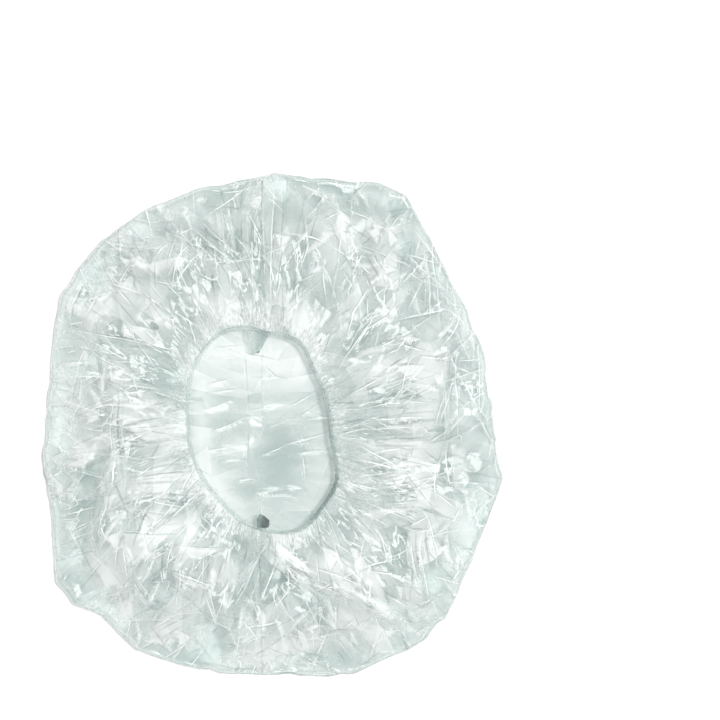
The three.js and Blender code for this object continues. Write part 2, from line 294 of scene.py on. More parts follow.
def nearest_ridge(x, y, folds, reach):
    """For each point, the distance to the left of the nearest ridge, and how sharp that ridge is there:
    sharper on a high fold, below 0 for a valley, fading towards its ends and away from the line."""
    distance = np.full_like(x, reach)
    sharp = np.zeros_like(x)
    for start, end, width, height in folds:
        along, aside = beside_fold(x, y, start, end)
        nearer = (np.abs(aside) < np.abs(distance)) & (along < 1)
        distance = np.where(nearer, aside, distance)
        most = math.copysign(min(abs(height) / width, SHARPEST_SLOPE) / SHARPEST_SLOPE, height)
        sharp = np.where(nearer, most * np.sqrt(np.maximum(1 - along, 0)), sharp)
    return distance, sharp * np.clip(RIDGE_FADE - np.abs(distance), 0, 1)


# %% [markdown]
# The whole film is one grid. One parameter runs round the cap, from the back end of the seam by the left
# side. The other runs along the film: from the seam under the crown, over the table, round the outer
# fold and up to the hem. The smooth shape comes first, and the folds are laid on it afterwards.

# %% The smooth film
SIDE_STEPS = 320
CROWN_STEPS = 34
FOLD_STEPS = 10
UPPER_STEPS = 104
EDGE_LENGTH = 2.2
EDGE_HEIGHT = 7.4
EDGE_SHARE = 0.35
EDGE_JOG = 1.3
PUFF_HEIGHT = 21.6
FILM_LIFT = 0.1
SEAM_SPREAD = 0.5
CROWN_CROWDING = 1.4
# The lifts of the rim: height, how many there are round the mouth, and where they start in radians.
RIM_WAVES = ((0.7, 2, 0.6), (0.5, 5, 2.1))
# A place well up on the upper film, by row and column, where outwards is up.
UPPER_SPOT = (10, -20)

rim_points = walk_outline(SIDE_STEPS)
ray = rim_points - mouth_centre
reach = np.linalg.norm(ray, axis=1)
ray /= reach[:, None]
edge_length = EDGE_LENGTH * (1 + EDGE_SHARE * facets(*rim_points.T, 17.0, 31))
edge_height = EDGE_HEIGHT * (1 + EDGE_SHARE * facets(*rim_points.T, 23.0, 32))
reach -= EDGE_JOG * np.maximum(facets(*rim_points.T, 7.0, 33), 0)
mouth = mouth_reach(ray)
mouth_points = mouth_centre + ray * mouth[:, None]
mouth_run = np.linalg.norm(np.roll(mouth_points, -1, axis=0) - mouth_points, axis=1)
mouth_girth = mouth_run.sum()
mouth_share = np.concatenate([[0], np.cumsum(mouth_run)[:-1]]) / mouth_girth
print("mouth girth", mouth_girth.round(1), "mm")


def rim_level(share):
    """Height of the middle of the hem round the mouth: it lifts and dips a little, as a soft rim does."""
    turn = 2 * np.pi * share
    return rim_height + sum(height * np.sin(count * turn + start) for height, count, start in RIM_WAVES)


def smooth_film():
    """The film without folds. Under the crown it runs straight from the seam to the outer fold, in steps
    that are shortest where the mouth shows them. The fold is half an ellipse. Above it the height goes
    from the fold to the hem with a swell, a sine, between."""
    back, front = reach[0], reach[SIDE_STEPS]
    start_y = mouth_centre[1] + SEAM_SPREAD * ray[:, 1] * np.where(ray[:, 1] > 0, back, front)
    start = np.stack([np.full_like(start_y, seam_x), start_y], 1)
    edge = mouth_centre + ray * (reach - edge_length)[:, None]
    share = np.linspace(0, 1, CROWN_STEPS + 1)[:-1] ** CROWN_CROWDING
    crown = start[:, None] * (1 - share[:, None]) + edge[:, None] * share[:, None]
    crown_z = np.full(crown.shape[:2], FILM_LIFT)

    angle = np.linspace(-np.pi / 2, np.pi / 2, FOLD_STEPS + 1)[:-1]
    half = (edge_height[:, None] - FILM_LIFT) / 2
    fold_reach = reach[:, None] - edge_length[:, None] * (1 - np.cos(angle))
    fold = mouth_centre + ray[:, None] * fold_reach[..., None]
    fold_z = FILM_LIFT + half * (1 + np.sin(angle))

    share = np.linspace(0, 1, UPPER_STEPS + 1)
    inner = (mouth + HEM_THICKNESS / 2)[:, None]
    upper_reach = (reach - edge_length)[:, None] * (1 - share) + inner * share
    upper = mouth_centre + ray[:, None] * upper_reach[..., None]
    rim = rim_level(mouth_share)[:, None]
    level = edge_height[:, None] + (rim - edge_height[:, None]) * ease(share, 0, 1)
    swell = PUFF_HEIGHT - (EDGE_HEIGHT + rim) / 2
    upper_z = level + swell * np.sin(np.pi * share)

    flat = np.concatenate([crown, fold, upper], axis=1)
    height = np.concatenate([crown_z, fold_z, upper_z], axis=1)
    return np.concatenate([flat, height[..., None]], axis=2)


def normals_of(grid):
    """Normals of a grid that closes on itself round the cap: the cross of its two differences."""
    round_cap = np.roll(grid, -1, axis=0) - np.roll(grid, 1, axis=0)
    along = np.gradient(grid, axis=1)
    normal = np.cross(round_cap, along)
    return normal / np.maximum(np.linalg.norm(normal, axis=2, keepdims=True), TINY)


base = smooth_film()
base_normal = normals_of(base)
base_normal *= np.sign(base_normal[UPPER_SPOT][2])
print("film grid", base.shape)

# %% [markdown]
# Seven kinds of folds make the film. The gathers fan out from the hem: very fine beside it, where more film
# is drawn in than the elastic is long, and joining into fewer, wider pleats further out. The crumple is
# facets at three sizes, strong in some places and nearly flat in others. Its largest facets and the broad
# folds are those of the solids. The main folds are listed, each as its two ends, half its width and its
# height, and so are the bundles of pleats. A scatter of small folds fills in between. Under the crown the
# film is pressed on the table and keeps only low creases. A simulated cloth would choose its own places for
# the folds, so they are added up as arrays instead.

# %% The folds
UPPER_START = CROWN_STEPS + FOLD_STEPS
FAR_FROM_HEM = 99.0
columns = np.arange(base.shape[1])
x = base[..., 0]
y = base[..., 1]
hem_distance = np.linalg.norm(base - base[:, -1:], axis=2)
hem_distance = np.where(columns[None, :] >= UPPER_START, hem_distance, FAR_FROM_HEM)
share_round = mouth_share[:, None]

MAIN_FOLDS = (
    ((-47, 81), (-37, 76), 4.0, -1.4), ((-37, 76), (-26, 74), 4.0, -1.4),
    ((-33, 83), (-13, 66), 2.2, 1.5), ((-30, 86), (-11, 69), 1.8, 1.2), ((-69, 74), (-45, 72), 3.0, 1.4),
    ((-65, 58), (-56, 69), 2.4, 1.2), ((-65, 58), (-70, 67), 2.2, 1.1), ((-65, 58), (-82, 50), 2.6, 1.4),
    ((-65, 58), (-57, 48), 2.2, 1.2), ((-85, 41), (-48, 33), 2.4, 1.5), ((-85, 41), (-60, 26), 2.6, 1.3),
    ((-79, 62), (-85, 45), 3.2, 1.8), ((-18, 99), (-18, 66), 2.6, 1.8), ((-8, 101), (-7, 44), 1.8, 1.4),
    ((-13, 101), (-12, 65), 3.0, -1.6), ((1, 101), (0, 48), 2.6, 1.4), ((5, 99), (4, 58), 3.0, -1.2),
    ((12, 103), (25, 90), 2.2, 1.5), ((25, 90), (33, 87), 2.2, 1.3), ((-3, 97), (5, 89), 1.8, 1.0),
    ((29, 66), (35, 57), 1.8, 1.1), ((35, 72), (42, 55), 1.8, 1.2), ((41, 73), (46, 58), 1.8, 1.1),
    ((65, 72), (65, 44), 1.6, 1.2), ((34, 31), (43, 46), 3.0, 1.5), ((29, 11), (51, 23), 2.2, 1.5),
    ((44, 7), (62, 20), 2.6, 1.8), ((86, 38), (86, 4), 3.2, 1.8), ((-63, -10), (-65, -26), 5.0, 2.4),
    ((-65, -20), (-71, -50), 5.0, 2.4), ((-62, -45), (-49, -31), 3.0, 1.4),
    ((-62, -48), (-60, -66), 2.0, 1.4), ((-59, -54), (-52, -76), 2.2, 1.6),
    ((-52, -76), (-47, -64), 1.8, 1.1), ((-44, -51), (-47, -66), 4.0, -1.7),
    ((-42, -61), (-24, -66), 2.2, 1.6), ((-40, -51), (-20, -51), 3.2, 1.5),
    ((0, -48), (-17, -74), 4.5, 2.2), ((4, -56), (11, -66), 3.0, 1.8), ((9, -64), (38, -72), 3.2, 2.0),
    ((35, -71), (59, -84), 3.0, 1.8), ((15, -58), (38, -65), 2.6, 1.6), ((36, -63), (50, -79), 2.6, 1.5),
    ((10, -65), (1, -77), 2.2, 1.2), ((18, -68), (21, -92), 4.0, -2.0), ((57, -40), (60, -69), 1.6, 1.2),
    ((62, -41), (61, -67), 1.5, 1.1), ((39, -35), (52, -35), 2.2, 1.5), ((50, -35), (67, -34), 1.4, 0.9),
    ((-92, -14), (-71, -12), 2.6, 1.5), ((-92, -14), (-72, -20), 2.2, 1.2),
    ((-91, 26), (-77, 26), 2.4, 1.7),
)
BROAD_REACH = 9.5
BROAD_HEIGHT = 3.4
# The broad folds: both ends in shares of half the cap's width and length, and how far they rise or sink.
BROAD_SHARES = (
    (-0.01, -0.43, -0.23, -0.77, 1), (0.02, -0.45, 0.64, -0.82, 1.1), (-0.64, -0.06, -0.76, -0.54, 1.2),
    (-0.95, 0.07, -0.52, -0.04, 0.8), (-0.89, 0.49, -0.45, 0.28, 1), (-0.6, 0.73, -0.14, 0.52, 1),
    (-0.05, 0.97, -0.05, 0.43, -0.9), (0.08, 0.92, 0.31, 0.41, 1), (0.45, 0.82, 0.54, 0.37, 0.9),
    (0.31, 0.28, 0.91, 0.39, 0.9), (0.35, 0.04, 0.95, -0.07, 1.05), (0.35, -0.28, 0.87, -0.41, 1),
    (-0.37, -0.37, -0.68, -0.75, 1), (-0.25, -0.49, -0.35, -0.92, 0.9), (0.25, -0.5, 0.31, -0.93, -1),
    (-0.82, 0.22, -0.43, 0.13, -0.9), (-0.74, 0.62, -0.41, 0.43, -0.8), (0.27, 0.86, 0.41, 0.47, -0.8),
    (0.66, 0.62, 0.87, 0.19, 0.9), (0.41, 0.15, 0.87, 0.17, -0.9), (0.39, -0.13, 0.87, -0.22, -0.9),
    (0.52, -0.49, 0.68, -0.71, 0.9), (-0.87, -0.28, -0.58, -0.34, -0.8),
    (-0.06, -0.52, -0.1, -0.93, -0.9),
)
FACET_LENGTH = 24.0
FACET_WIDTH = 18.0
FACET_HEIGHT = 2.6
FACET_TURN = math.radians(63)
half_cap = np.array([cap_width / 2, cap_length / 2])
broad_folds = [
    (np.array(ends[:2]) * half_cap, np.array(ends[2:]) * half_cap, BROAD_REACH, rise * BROAD_HEIGHT)
    for *ends, rise in BROAD_SHARES
]
# The creases that show through the mouth: both ends and the strength.
CROWN_CREASES = (
    ((-26, -3), (-12, 4), 1.3), ((-12, 4), (-4, 0), 1.3), ((-2, -1), (11, 3), 1.0),
    ((11, 3), (20, 9), 1.0), ((6, 6), (20, 15), 0.8), ((-6, -13), (5, -9), 0.8), ((4, -9), (24, -2), 1.3),
    ((9, -12), (24, -10), 0.9), ((11, 2), (12, -11), 1.0), ((12, -11), (13, -24), 1.1),
    ((-12, 4), (-11, -23), 1.0), ((-13, 32), (-12, 4), 0.9), ((-29, 17), (-18, 19), 1.0),
    ((-29, 14), (-13, 15), 0.9), ((-31, 6), (-18, 11), 1.4), ((-28, -11), (-12, -8), 1.2),
    ((-12, 6), (9, 8), 0.8), ((-8, -29), (5, -27), 1.1), ((5, -27), (12, -27), 1.1),
    ((-8, -30), (12, -31), 0.9), ((-24, -16), (-12, -15), 0.9), ((-18, 30), (4, 26), 0.5),
    ((-4, 24), (3, 18), 0.8), ((-27, 27), (-13, 28), 0.6), ((-10, 19), (7, 19), 0.6),
    ((-25, 32), (-13, 33), 0.5), ((-16, -24), (-6, -23), 0.8),
)
CROWN_CREASE_WIDTH = 1.1
CROWN_CREASE_HEIGHT = 0.45
CROWN_LINE_HEIGHT = 1.3
crown_folds = [
    (start, end, CROWN_CREASE_WIDTH * strength, CROWN_CREASE_HEIGHT * strength)
    for start, end, strength in CROWN_CREASES
]
crown_lines = [
    (start, end, CROWN_CREASE_WIDTH, CROWN_LINE_HEIGHT * strength) for start, end, strength in CROWN_CREASES
]
# Bundles of folds side by side: both ends, how many and how far apart.
FOLD_BUNDLES = (
    ((34, 10), (71, 20), 5, 1.5), ((45, 8), (61, 19), 3, 1.6), ((35, 0), (77, 4), 4, 1.4),
    ((38, -7), (63, -6), 5, 1.6), ((36, -18), (55, -14), 4, 1.5), ((36, -26), (75, -23), 4, 1.7),
    ((74, 34), (74, -9), 3, 2.2), ((66, 86), (66, 40), 3, 1.8), ((35, 71), (38, 59), 2, 2.4),
    ((39, 72), (45, 60), 3, 2.0), ((59, -41), (62, -71), 3, 2.0), ((63, -41), (67, -62), 3, 1.8),
    ((2, -54), (18, -65), 3, 1.6), ((18, -65), (37, -74), 3, 1.8), ((37, -74), (55, -82), 3, 1.6),
    ((32, -63), (54, -80), 2, 2.0), ((37, -34), (66, -34), 3, 1.8), ((-83, 3), (-65, 9), 3, 1.8),
    ((-61, -1), (-46, 1), 4, 1.4), ((-62, -22), (-35, -21), 6, 1.6), ((-58, -29), (-31, -31), 4, 1.5),
    ((-67, -35), (-45, -27), 3, 1.6), ((-78, 33), (-65, 26), 3, 1.8), ((-63, 33), (-51, 32), 2, 1.6),
    ((-64, 15), (-62, -19), 3, 1.8), ((-87, -14), (-71, -12), 3, 1.6), ((-60, -53), (-52, -76), 3, 1.8),
    ((-76, -46), (-90, -59), 3, 1.5), ((-68, -36), (-73, -52), 3, 2.0), ((-32, -34), (-22, -47), 3, 1.6),
    ((-62, -45), (-39, -46), 2, 1.8), ((-71, 76), (-52, 72), 3, 1.5), ((-52, 81), (-28, 71), 3, 1.8),
    ((-36, 84), (-14, 65), 4, 1.6), ((-20, 99), (-16, 68), 4, 1.8), ((-8, 100), (-6, 60), 4, 1.8),
)
FOLD_STRENGTH = 1.25
SOFT_PASSES = 4
UPPER_LOWEST = 4.2
# Pleats round the mouth: how many, how high, how far they reach, and the seed of their wandering.
GATHERS = ((150, 0.28, 4.0, 11), (76, 0.55, 9.0, 12), (40, 0.8, 13.0, 13), (18, 1.3, 20.0, 14))
# Where the pleats gather in bundles: the share of the way round, the half width there and the strength.
BUNDLES = ((0.75, 0.07, 1.5), (0.70, 0.03, 1.2), (0.30, 0.04, 1.2), (0.22, 0.03, 0.8), (0.13, 0.02, 0.8))
# How the pleats wander: by what share of a pleat, over facets of what size, and how far on their seed is.
GATHER_WANDER = ((0.2, 13.0, 0), (0.5, 30.0, 20))
GATHER_CELL = 11.0
GATHER_LEAST = 0.3
GATHER_DRIFT = 0.9
GATHER_BUNDLED = 0.7
GATHER_STRAIGHT = 8
PLEAT_WIDTH = 1.7
PLEAT_STRAY = 0.16
PLEAT_SPREAD = (0.7, 1.3)
CRUMPLE_HEIGHT = 1.1
FINE_HEIGHT = 0.12
HEM_CALM = 0.8
HEM_CALM_REACH = 7
EDGE_CRUMPLE = 0.35
EDGE_FOLDS = 0.3
CROWN_FACETS = 0.7
CROWN_RISE = 0.3
CROWN_SWELL = 1.2


def gathers():
    """Pleats that fan out from the hem: for each count round the mouth, a zigzag whose height fades with
    the distance from the hem, is stronger and reaches further in the bundles, and wanders to the side."""
    bundle = np.zeros_like(x)
    for at, width, strength in BUNDLES:
        bundle += strength * np.exp(-((share_round - at) / width) ** 2)
    total = np.zeros_like(x)
    for count, height, fade, seed in GATHERS:
        wander = sum(push * facets(x, y, cell, seed + more) for push, cell, more in GATHER_WANDER)
        strong = drift(x, y, GATHER_CELL, seed + 40) ** 1.5
        strong = GATHER_LEAST + GATHER_DRIFT * strong + GATHER_BUNDLED * bundle
        rise = ease(hem_distance, -2.0, fade / 5)
        fall = np.exp(-hem_distance / (fade * (1 + 0.5 * bundle)))
        aside = wander * ease(hem_distance, 0, GATHER_STRAIGHT)
        total += height * strong * rise * fall * zigzag(count * share_round + aside)
    return total


def pointing(turn):
    """The direction at an angle from the x axis."""
    return np.array([math.cos(turn), math.sin(turn)])


def random_place(random, zone):
    """A random place in a zone of the upper film, given as shares of the way from the hem to the outer
    fold: the point, the angle of the ray outwards there, and its share of the way."""
    row = random.integers(0, 2 * SIDE_STEPS)
    share = math.sqrt(random.uniform(zone[0] ** 2, zone[1] ** 2))
    return base[row, -1 - int(share * UPPER_STEPS), :2], math.atan2(ray[row, 1], ray[row, 0]), share


def scattered_folds(count, seed, zone, lengths, widths, steepness, spread):
    """Small folds at random places in a zone. They run from the hem outwards, straying from the ray by a
    normal spread in radians, and one in three is a valley."""
    random = np.random.default_rng(seed)
    folds = []
    for _ in range(count):
        middle, outward = random_place(random, zone)[:2]
        turn = outward + random.normal(0, spread)
        half = random.uniform(*lengths) / 2 * pointing(turn)
        width = random.uniform(*widths)
        height = width * steepness * random.uniform(0.5, 1.0) * random.choice((-1, 1, 1))
        folds.append((middle - half, middle + half, width, height))
    return folds


def bundled_folds(seed):
    """The folds of the bundles: ridges and valleys in turn, closer together at the first end than at the
    last, each with ends of its own, strayed along the bundle by up to a sixth of its length."""
    random = np.random.default_rng(seed)
    folds = []
    for first, last, count, spacing in FOLD_BUNDLES:
        run = np.array(last, float) - first
        aside = np.array([-run[1], run[0]]) / np.linalg.norm(run)
        for number in range(count):
            offset = (number - (count - 1) / 2 + random.uniform(-0.3, 0.3)) * spacing * aside
            strays = random.uniform(-PLEAT_STRAY, PLEAT_STRAY, 2)
            height = random.uniform(0.35, 0.8) * (1 if number % 2 == 0 else -0.9)
            start, end = (
                place + apart * offset + stray * run
                for place, apart, stray in zip((first, last), PLEAT_SPREAD, strays)
            )
            folds.append((start, end, PLEAT_WIDTH, height))
    return folds


def corner_height(kind):
    """The rule for a lattice's corners in the solids: the sine of a sum of squares, in no plain order."""
    return lambda i, j: np.sin(2.7 * i * i + 1.9 * j * j + 4.3 * i * j + 1.7 * kind * (i + 2 * j) + kind)


def broad_crumple():
    """The facets of the solids, from -1 to 1: a turned lattice, its places pushed about by two more."""
    a = (x * math.cos(FACET_TURN) + y * math.sin(FACET_TURN)) / FACET_LENGTH
    b = (y * math.cos(FACET_TURN) - x * math.sin(FACET_TURN)) / FACET_WIDTH
    push_a = lattice(a + 0.5, b, corner_height(1))
    push_b = lattice(a, b + 0.5, corner_height(2))
    return lattice(a + push_a / 2, b + push_b / 2, corner_height(0))


def crumple():
    """Facets at three sizes, the two smaller ones each with their own strong and weak places."""
    strong = 0.3 + drift(x, y, 26.0, 51)
    fine = 0.1 + 1.5 * drift(x, y, 15.0, 54) ** 2
    total = FACET_HEIGHT * broad_crumple()
    total += CRUMPLE_HEIGHT * strong * facets(x, y, 12.0, 53, stretch=1.3, turn=1.1)
    total += FINE_HEIGHT * fine * facets(x, y, 6.4, 55, turn=2.0)
    return total


def soften(lift, passes):
    """Heights evened out by about a step of the grid, so that a ridge that runs aslant of the rows doesn't
    break into beads: in each pass a point takes half its own height and a quarter of each neighbour's."""
    for _ in range(passes):
        lift = (2 * lift + np.roll(lift, 1, axis=0) + np.roll(lift, -1, axis=0)) / 4
        wider = np.pad(lift, ((0, 0), (1, 1)), mode="edge")
        lift = (2 * lift + wider[:, :-2] + wider[:, 2:]) / 4
    return lift


def folded_film():
    """The smooth film with its folds: all kinds along the normal above the outer fold, and upward
    creases under the crown. Both fade to a small unevenness at the outer fold."""
    above = ease(columns, UPPER_START - FOLD_STEPS * 0.8, UPPER_START + 5)[None, :]
    from_crown = ease(columns, CROWN_STEPS, UPPER_START)[None, :]
    from_edge = ease(columns, CROWN_STEPS + FOLD_STEPS / 2, UPPER_START)[None, :]
    near_hem = 1 - HEM_CALM * np.exp(-hem_distance / HEM_CALM_REACH)
    folds = FOLD_STRENGTH * raise_folds(*curved, MAIN_FOLDS) + raise_folds(*curved, small_folds + pleats)
    folds = folds + raise_folds(x, y, broad_folds)
    lift = crumple() * (EDGE_CRUMPLE + (1 - EDGE_CRUMPLE) * above) * from_crown
    lift = lift + folds * (EDGE_FOLDS + (1 - EDGE_FOLDS) * above) * from_edge
    lift = soften(lift, SOFT_PASSES) * near_hem + gathers() * above
    film = base + base_normal * lift[..., None]
    under = 1 - ease(columns, CROWN_STEPS - 6, CROWN_STEPS + FOLD_STEPS * 0.5)[None, :]
    creases = CROWN_FACETS * facets(x, y, 16.0, 61, stretch=3.0, turn=0.12) + CROWN_RISE
    creases = np.maximum(creases, 0) + CROWN_SWELL * (1 + facets(x, y, 38.0, 62, turn=0.9))
    film[..., 2] += under * (creases + raise_folds(*curved, crown_folds))
    lowest = np.where(columns >= UPPER_START, UPPER_LOWEST, FILM_LIFT)
    film[..., 2] = np.maximum(film[..., 2], lowest[None, :])
    return film


curved = bend(x, y, 1.0, 16.0, 21)
small_folds = (
    scattered_folds(110, 71, (0.05, 0.7), (10, 38), (1.5, 3.4), 0.20, 0.5)
    + scattered_folds(150, 72, (0.4, 1.0), (10, 36), (1.8, 5.0), 0.22, 1.6)
    + scattered_folds(40, 73, (0.2, 1.0), (5, 14), (1.2, 2.2), 0.25, 1.2)
)
pleats = bundled_folds(78)
film = folded_film()
print("film from", film.min((0, 1)).round(1), "to", film.max((0, 1)).round(1))

# %% [markdown]
# A ridge that has been pressed sharp stays bruised, and it catches the light along its crest. The finish
# paints a hair-thin white line there, partly the bruise and partly a painted highlight, with a painted
# shade beside it. A line that thin is finer than the mesh, so each point keeps its distance to the nearest
# ridge instead. That distance changes evenly across a face, and the finish can find the place where it
# passes through nothing.

# %% The ridges
RIDGE_REACH = 2.5
CROWN_SPAN = np.array([80, 90])
CROWN_LINE_WIDTH = 1.5


def crown_creases(count, seed):
    """Fine creases under the crown, across the cap, as the film lay folded in its packet, but none under
    the mouth, where each crease has its own place."""
    random = np.random.default_rng(seed)
    folds = []
    for _ in range(count):
        middle = random.uniform(-CROWN_SPAN, CROWN_SPAN)
        turn = random.normal(0.1, 0.3)
        half = random.uniform(4, 13) * pointing(turn)
        height = random.uniform(0.5, 1.4)
        if np.linalg.norm((middle - mouth_centre) / (MOUTH_WIDTH / 2, MOUTH_LENGTH / 2)) > 1:
            folds.append((middle - half, middle + half, CROWN_LINE_WIDTH, height))
    return folds


fine_creases = (
    scattered_folds(70, 74, (0.0, 0.5), (7, 26), (1.2, 2.0), 0.7, 0.35)
    + scattered_folds(130, 75, (0.45, 1.0), (7, 32), (1.2, 2.0), 0.7, 1.2)
)
hair_creases = (
    scattered_folds(150, 86, (0.04, 0.6), (5, 22), (1.2, 2.0), 0.7, 0.28)
    + scattered_folds(300, 87, (0.4, 1.0), (4, 24), (1.2, 2.0), 0.7, 0.75)
)
crown_ridge = nearest_ridge(*curved, crown_lines + crown_creases(120, 76), RIDGE_REACH)
on_upper = columns[None, :] >= UPPER_START - FOLD_STEPS / 2
print("creases", len(fine_creases) + len(hair_creases), "on the upper film")

# %% [markdown]
# Where film has been crumpled often it turns milky, and where it hasn't it stays clear. Here the milk is
# partly the film's haze and partly painted sheen, and the clear places get a painted shade. Most of these
# places are flat facets with three corners: painted glints that stand for a facet mirroring the light along
# one edge and losing it towards the far corner, and painted shade where their strength is below 0. The ones
# that show most are listed one by one, and a scatter fills in.

# %% The shards
SHARD_BORDER = 0.6
SHARD_FADE = 0.8
SHARD_LINE = 0.45
SHARD_SLIMNESS = (0.07, 0.26)


def shards(x, y, corners):
    """Three-cornered facets with crisp borders, painted glints, and painted shade where the strength is
    below 0: each adds its strength along the edge between its first two corners, and fades towards the
    third. The border is eased over SHARD_BORDER."""
    total = np.zeros_like(x)
    for *ends, strength in corners:
        a, b, c = np.array(ends, float).reshape(3, 2)
        double_area = (b[0] - a[0]) * (c[1] - a[1]) - (b[1] - a[1]) * (c[0] - a[0])
        by_a = ((b[0] - x) * (c[1] - y) - (b[1] - y) * (c[0] - x)) / double_area
        by_b = ((c[0] - x) * (a[1] - y) - (c[1] - y) * (a[0] - x)) / double_area
        by_c = 1 - by_a - by_b
        sides = np.linalg.norm([c - b, a - c, b - a], axis=1)
        inside = [part * abs(double_area) / side for part, side in zip((by_a, by_b, by_c), sides)]
        border = np.clip(np.min(inside, axis=0) / SHARD_BORDER, 0, 1)
        total += strength * border * (1 - SHARD_FADE * np.clip(by_c, 0, 1))
    return total


def scattered_shards(count, seed, zone, lengths, strengths):
    """Long narrow shards at random places in a zone. Most run along the rays, and of those further out a
    third run across them, along the outline."""
    random = np.random.default_rng(seed)
    made = []
    for _ in range(count):
        start, outward, share = random_place(random, zone)
        turn = outward + random.normal(0, 0.25 + 0.35 * share)
        turn += random.choice((0, 0, math.pi / 2)) if share > 0.5 else 0
        length = random.uniform(*lengths)
        width = length * random.uniform(*SHARD_SLIMNESS)
        way = pointing(turn)
        side = np.array([-way[1], way[0]])
        second = start + way * length
        third = start + way * length * random.uniform(0.1, 0.9) + side * width
        made.append((*start, *second, *third, random.choice(strengths)))
    return made


# Three corners each, and the strength: painted glints first, then clear facets with painted shade.
GLINT_AND_SHADE_SHARDS = (
    (-17, 64, -12, 65, -12, 58, 1.0), (-62, 69, -55, 70, -60, 65, 0.8), (-39, 93, -35, 91, -38, 87, 0.8),
    (-34, 94, -27, 96, -28, 93, 0.8), (-83, 47, -80, 52, -76, 48, 0.8), (-73, 74, -71, 76, -72, 69, 0.8),
    (-62, 43, -58, 37, -63, 38, 0.8), (-9, 94, -4, 98, -6, 89, 0.8), (-20, 103, -14, 103, -17, 99, 0.8),
    (-32, 73, -27, 73, -28, 69, 0.8), (2, 80, 8, 79, 5, 72, 1.0), (11, 102, 20, 98, 14, 96, 0.7),
    (27, 89, 33, 86, 30, 83, 0.8), (40, 82, 45, 83, 44, 75, 0.9), (50, 84, 54, 79, 49, 75, 0.9),
    (46, 67, 51, 65, 45, 63, 0.9), (33, 104, 40, 105, 36, 100, 0.7), (68, 21, 72, 22, 70, 15, 0.9),
    (59, 16, 66, 17, 69, 14, 0.9), (74, 30, 77, 31, 76, 28, 0.8), (74, -8, 77, -8, 76, -11, 0.9),
    (68, -17, 72, -16, 71, -20, 0.9), (60, -17, 64, -19, 61, -20, 0.8), (44, -22, 56, -20, 51, -26, 0.9),
    (78, -27, 86, -27, 82, -32, 0.8), (84, 17, 89, 16, 87, 19, 0.9), (52, 25, 64, 25, 57, 18, 0.8),
    (52, 37, 58, 38, 57, 33, 0.8), (-91, 26, -79, 26, -85, 24, 1.0), (-83, 8, -79, 9, -80, 7, 0.9),
    (-61, -8, -58, -7, -60, -16, 1.0), (-93, -13, -87, -11, -90, -18, 0.9),
    (-68, 22, -62, 24, -65, 19, 0.8), (-47, 8, -41, 9, -45, 7, 0.9), (-61, -1, -51, 1, -51, -3, 0.8),
    (-85, -27, -81, -32, -83, -33, 0.8), (-91, -31, -83, -33, -88, -35, 0.8),
    (-79, 5, -71, 8, -74, 4, 0.8), (-88, -15, -72, -13, -82, -17, 0.7),
    (-42, -62, -33, -67, -25, -66, 0.9), (-39, -51, -22, -51, -33, -56, 0.7),
    (-42, -87, -34, -89, -39, -94, 0.8), (-69, -47, -62, -44, -65, -53, 0.8),
    (-75, -53, -68, -61, -63, -67, 0.8), (-91, -28, -81, -27, -84, -32, 0.7),
    (-89, -39, -80, -38, -85, -46, 0.7), (-57, -89, -49, -94, -53, -91, 0.8),
    (-22, -53, -17, -51, -18, -57, 0.9), (-15, -98, 1, -97, -7, -103, 0.8),
    (-53, -75, -47, -66, -50, -67, 0.9), (37, -36, 50, -34, 44, -39, 0.9),
    (34, -43, 37, -48, 35, -47, 0.9), (72, -43, 75, -57, 71, -56, 0.9), (77, -56, 79, -54, 78, -62, 0.9),
    (80, -30, 86, -31, 82, -43, 0.8), (2, -49, 20, -62, 3, -57, 0.8), (21, -49, 29, -53, 24, -60, 0.8),
    (29, -65, 49, -76, 44, -70, 0.9), (0, -98, 14, -96, 7, -93, 0.8), (59, -88, 67, -85, 62, -91, 0.8),
    (-80, -18, -65, -12, -76, -36, -0.65), (-6, -53, 10, -66, -6, -78, -0.6),
    (45, -43, 56, -41, 56, -61, -0.45), (-80, -31, -68, -27, -75, -48, -0.55),
    (78, 31, 83, 33, 82, 23, -0.7), (86, -15, 92, -16, 84, -22, -0.7), (20, 102, 36, 100, 31, 93, -0.7),
    (54, 76, 59, 78, 56, 65, -0.7), (-17, 92, -13, 71, -9, 86, -0.45), (48, 15, 62, 12, 46, 8, -0.7),
    (36, 33, 44, 40, 30, 45, -0.6),
)
random_glint_and_shade_shards = (
    scattered_shards(330, 79, (0.14, 1.0), (5, 24), (0.7, 0.5, 0.35, -0.35, -0.5))
    + scattered_shards(150, 80, (0.78, 1.0), (3, 15), (1.1, 0.9, 0.7, 0.5, -0.4))
)
shard_glint_and_shade = shards(*curved, GLINT_AND_SHADE_SHARDS) + shards(*bend(x, y, 1.8, 8.0, 25), random_glint_and_shade_shards)


def shard_lines(listed, first=0):
    """The edge of each shard from one of its corners to the next, as a ridge as sharp as the shard."""
    at = 2 * first
    return [(shard[at:at + 2], shard[at + 2:at + 4], 1.0, SHARD_LINE * shard[6]) for shard in listed]


upper_lines = list(MAIN_FOLDS) + pleats + shard_lines(GLINT_AND_SHADE_SHARDS) + shard_lines(GLINT_AND_SHADE_SHARDS, 1)
upper_ridge = nearest_ridge(*curved, upper_lines, RIDGE_REACH)
# Lines that cross would spoil each other's distances, so the scattered ones are two sets of their own.
line_sets = {
    "creases": nearest_ridge(*curved, fine_creases + shard_lines(random_glint_and_shade_shards[::3]), RIDGE_REACH),
    "hairs": nearest_ridge(*curved, hair_creases, RIDGE_REACH),
}
print("shards", len(GLINT_AND_SHADE_SHARDS) + len(random_glint_and_shade_shards))
print("their milk from", shard_glint_and_shade.min().round(2), "to", shard_glint_and_shade.max().round(2))
print("ridges and valleys reach", round(float((upper_ridge[1] != 0).mean()), 2), "of the film")
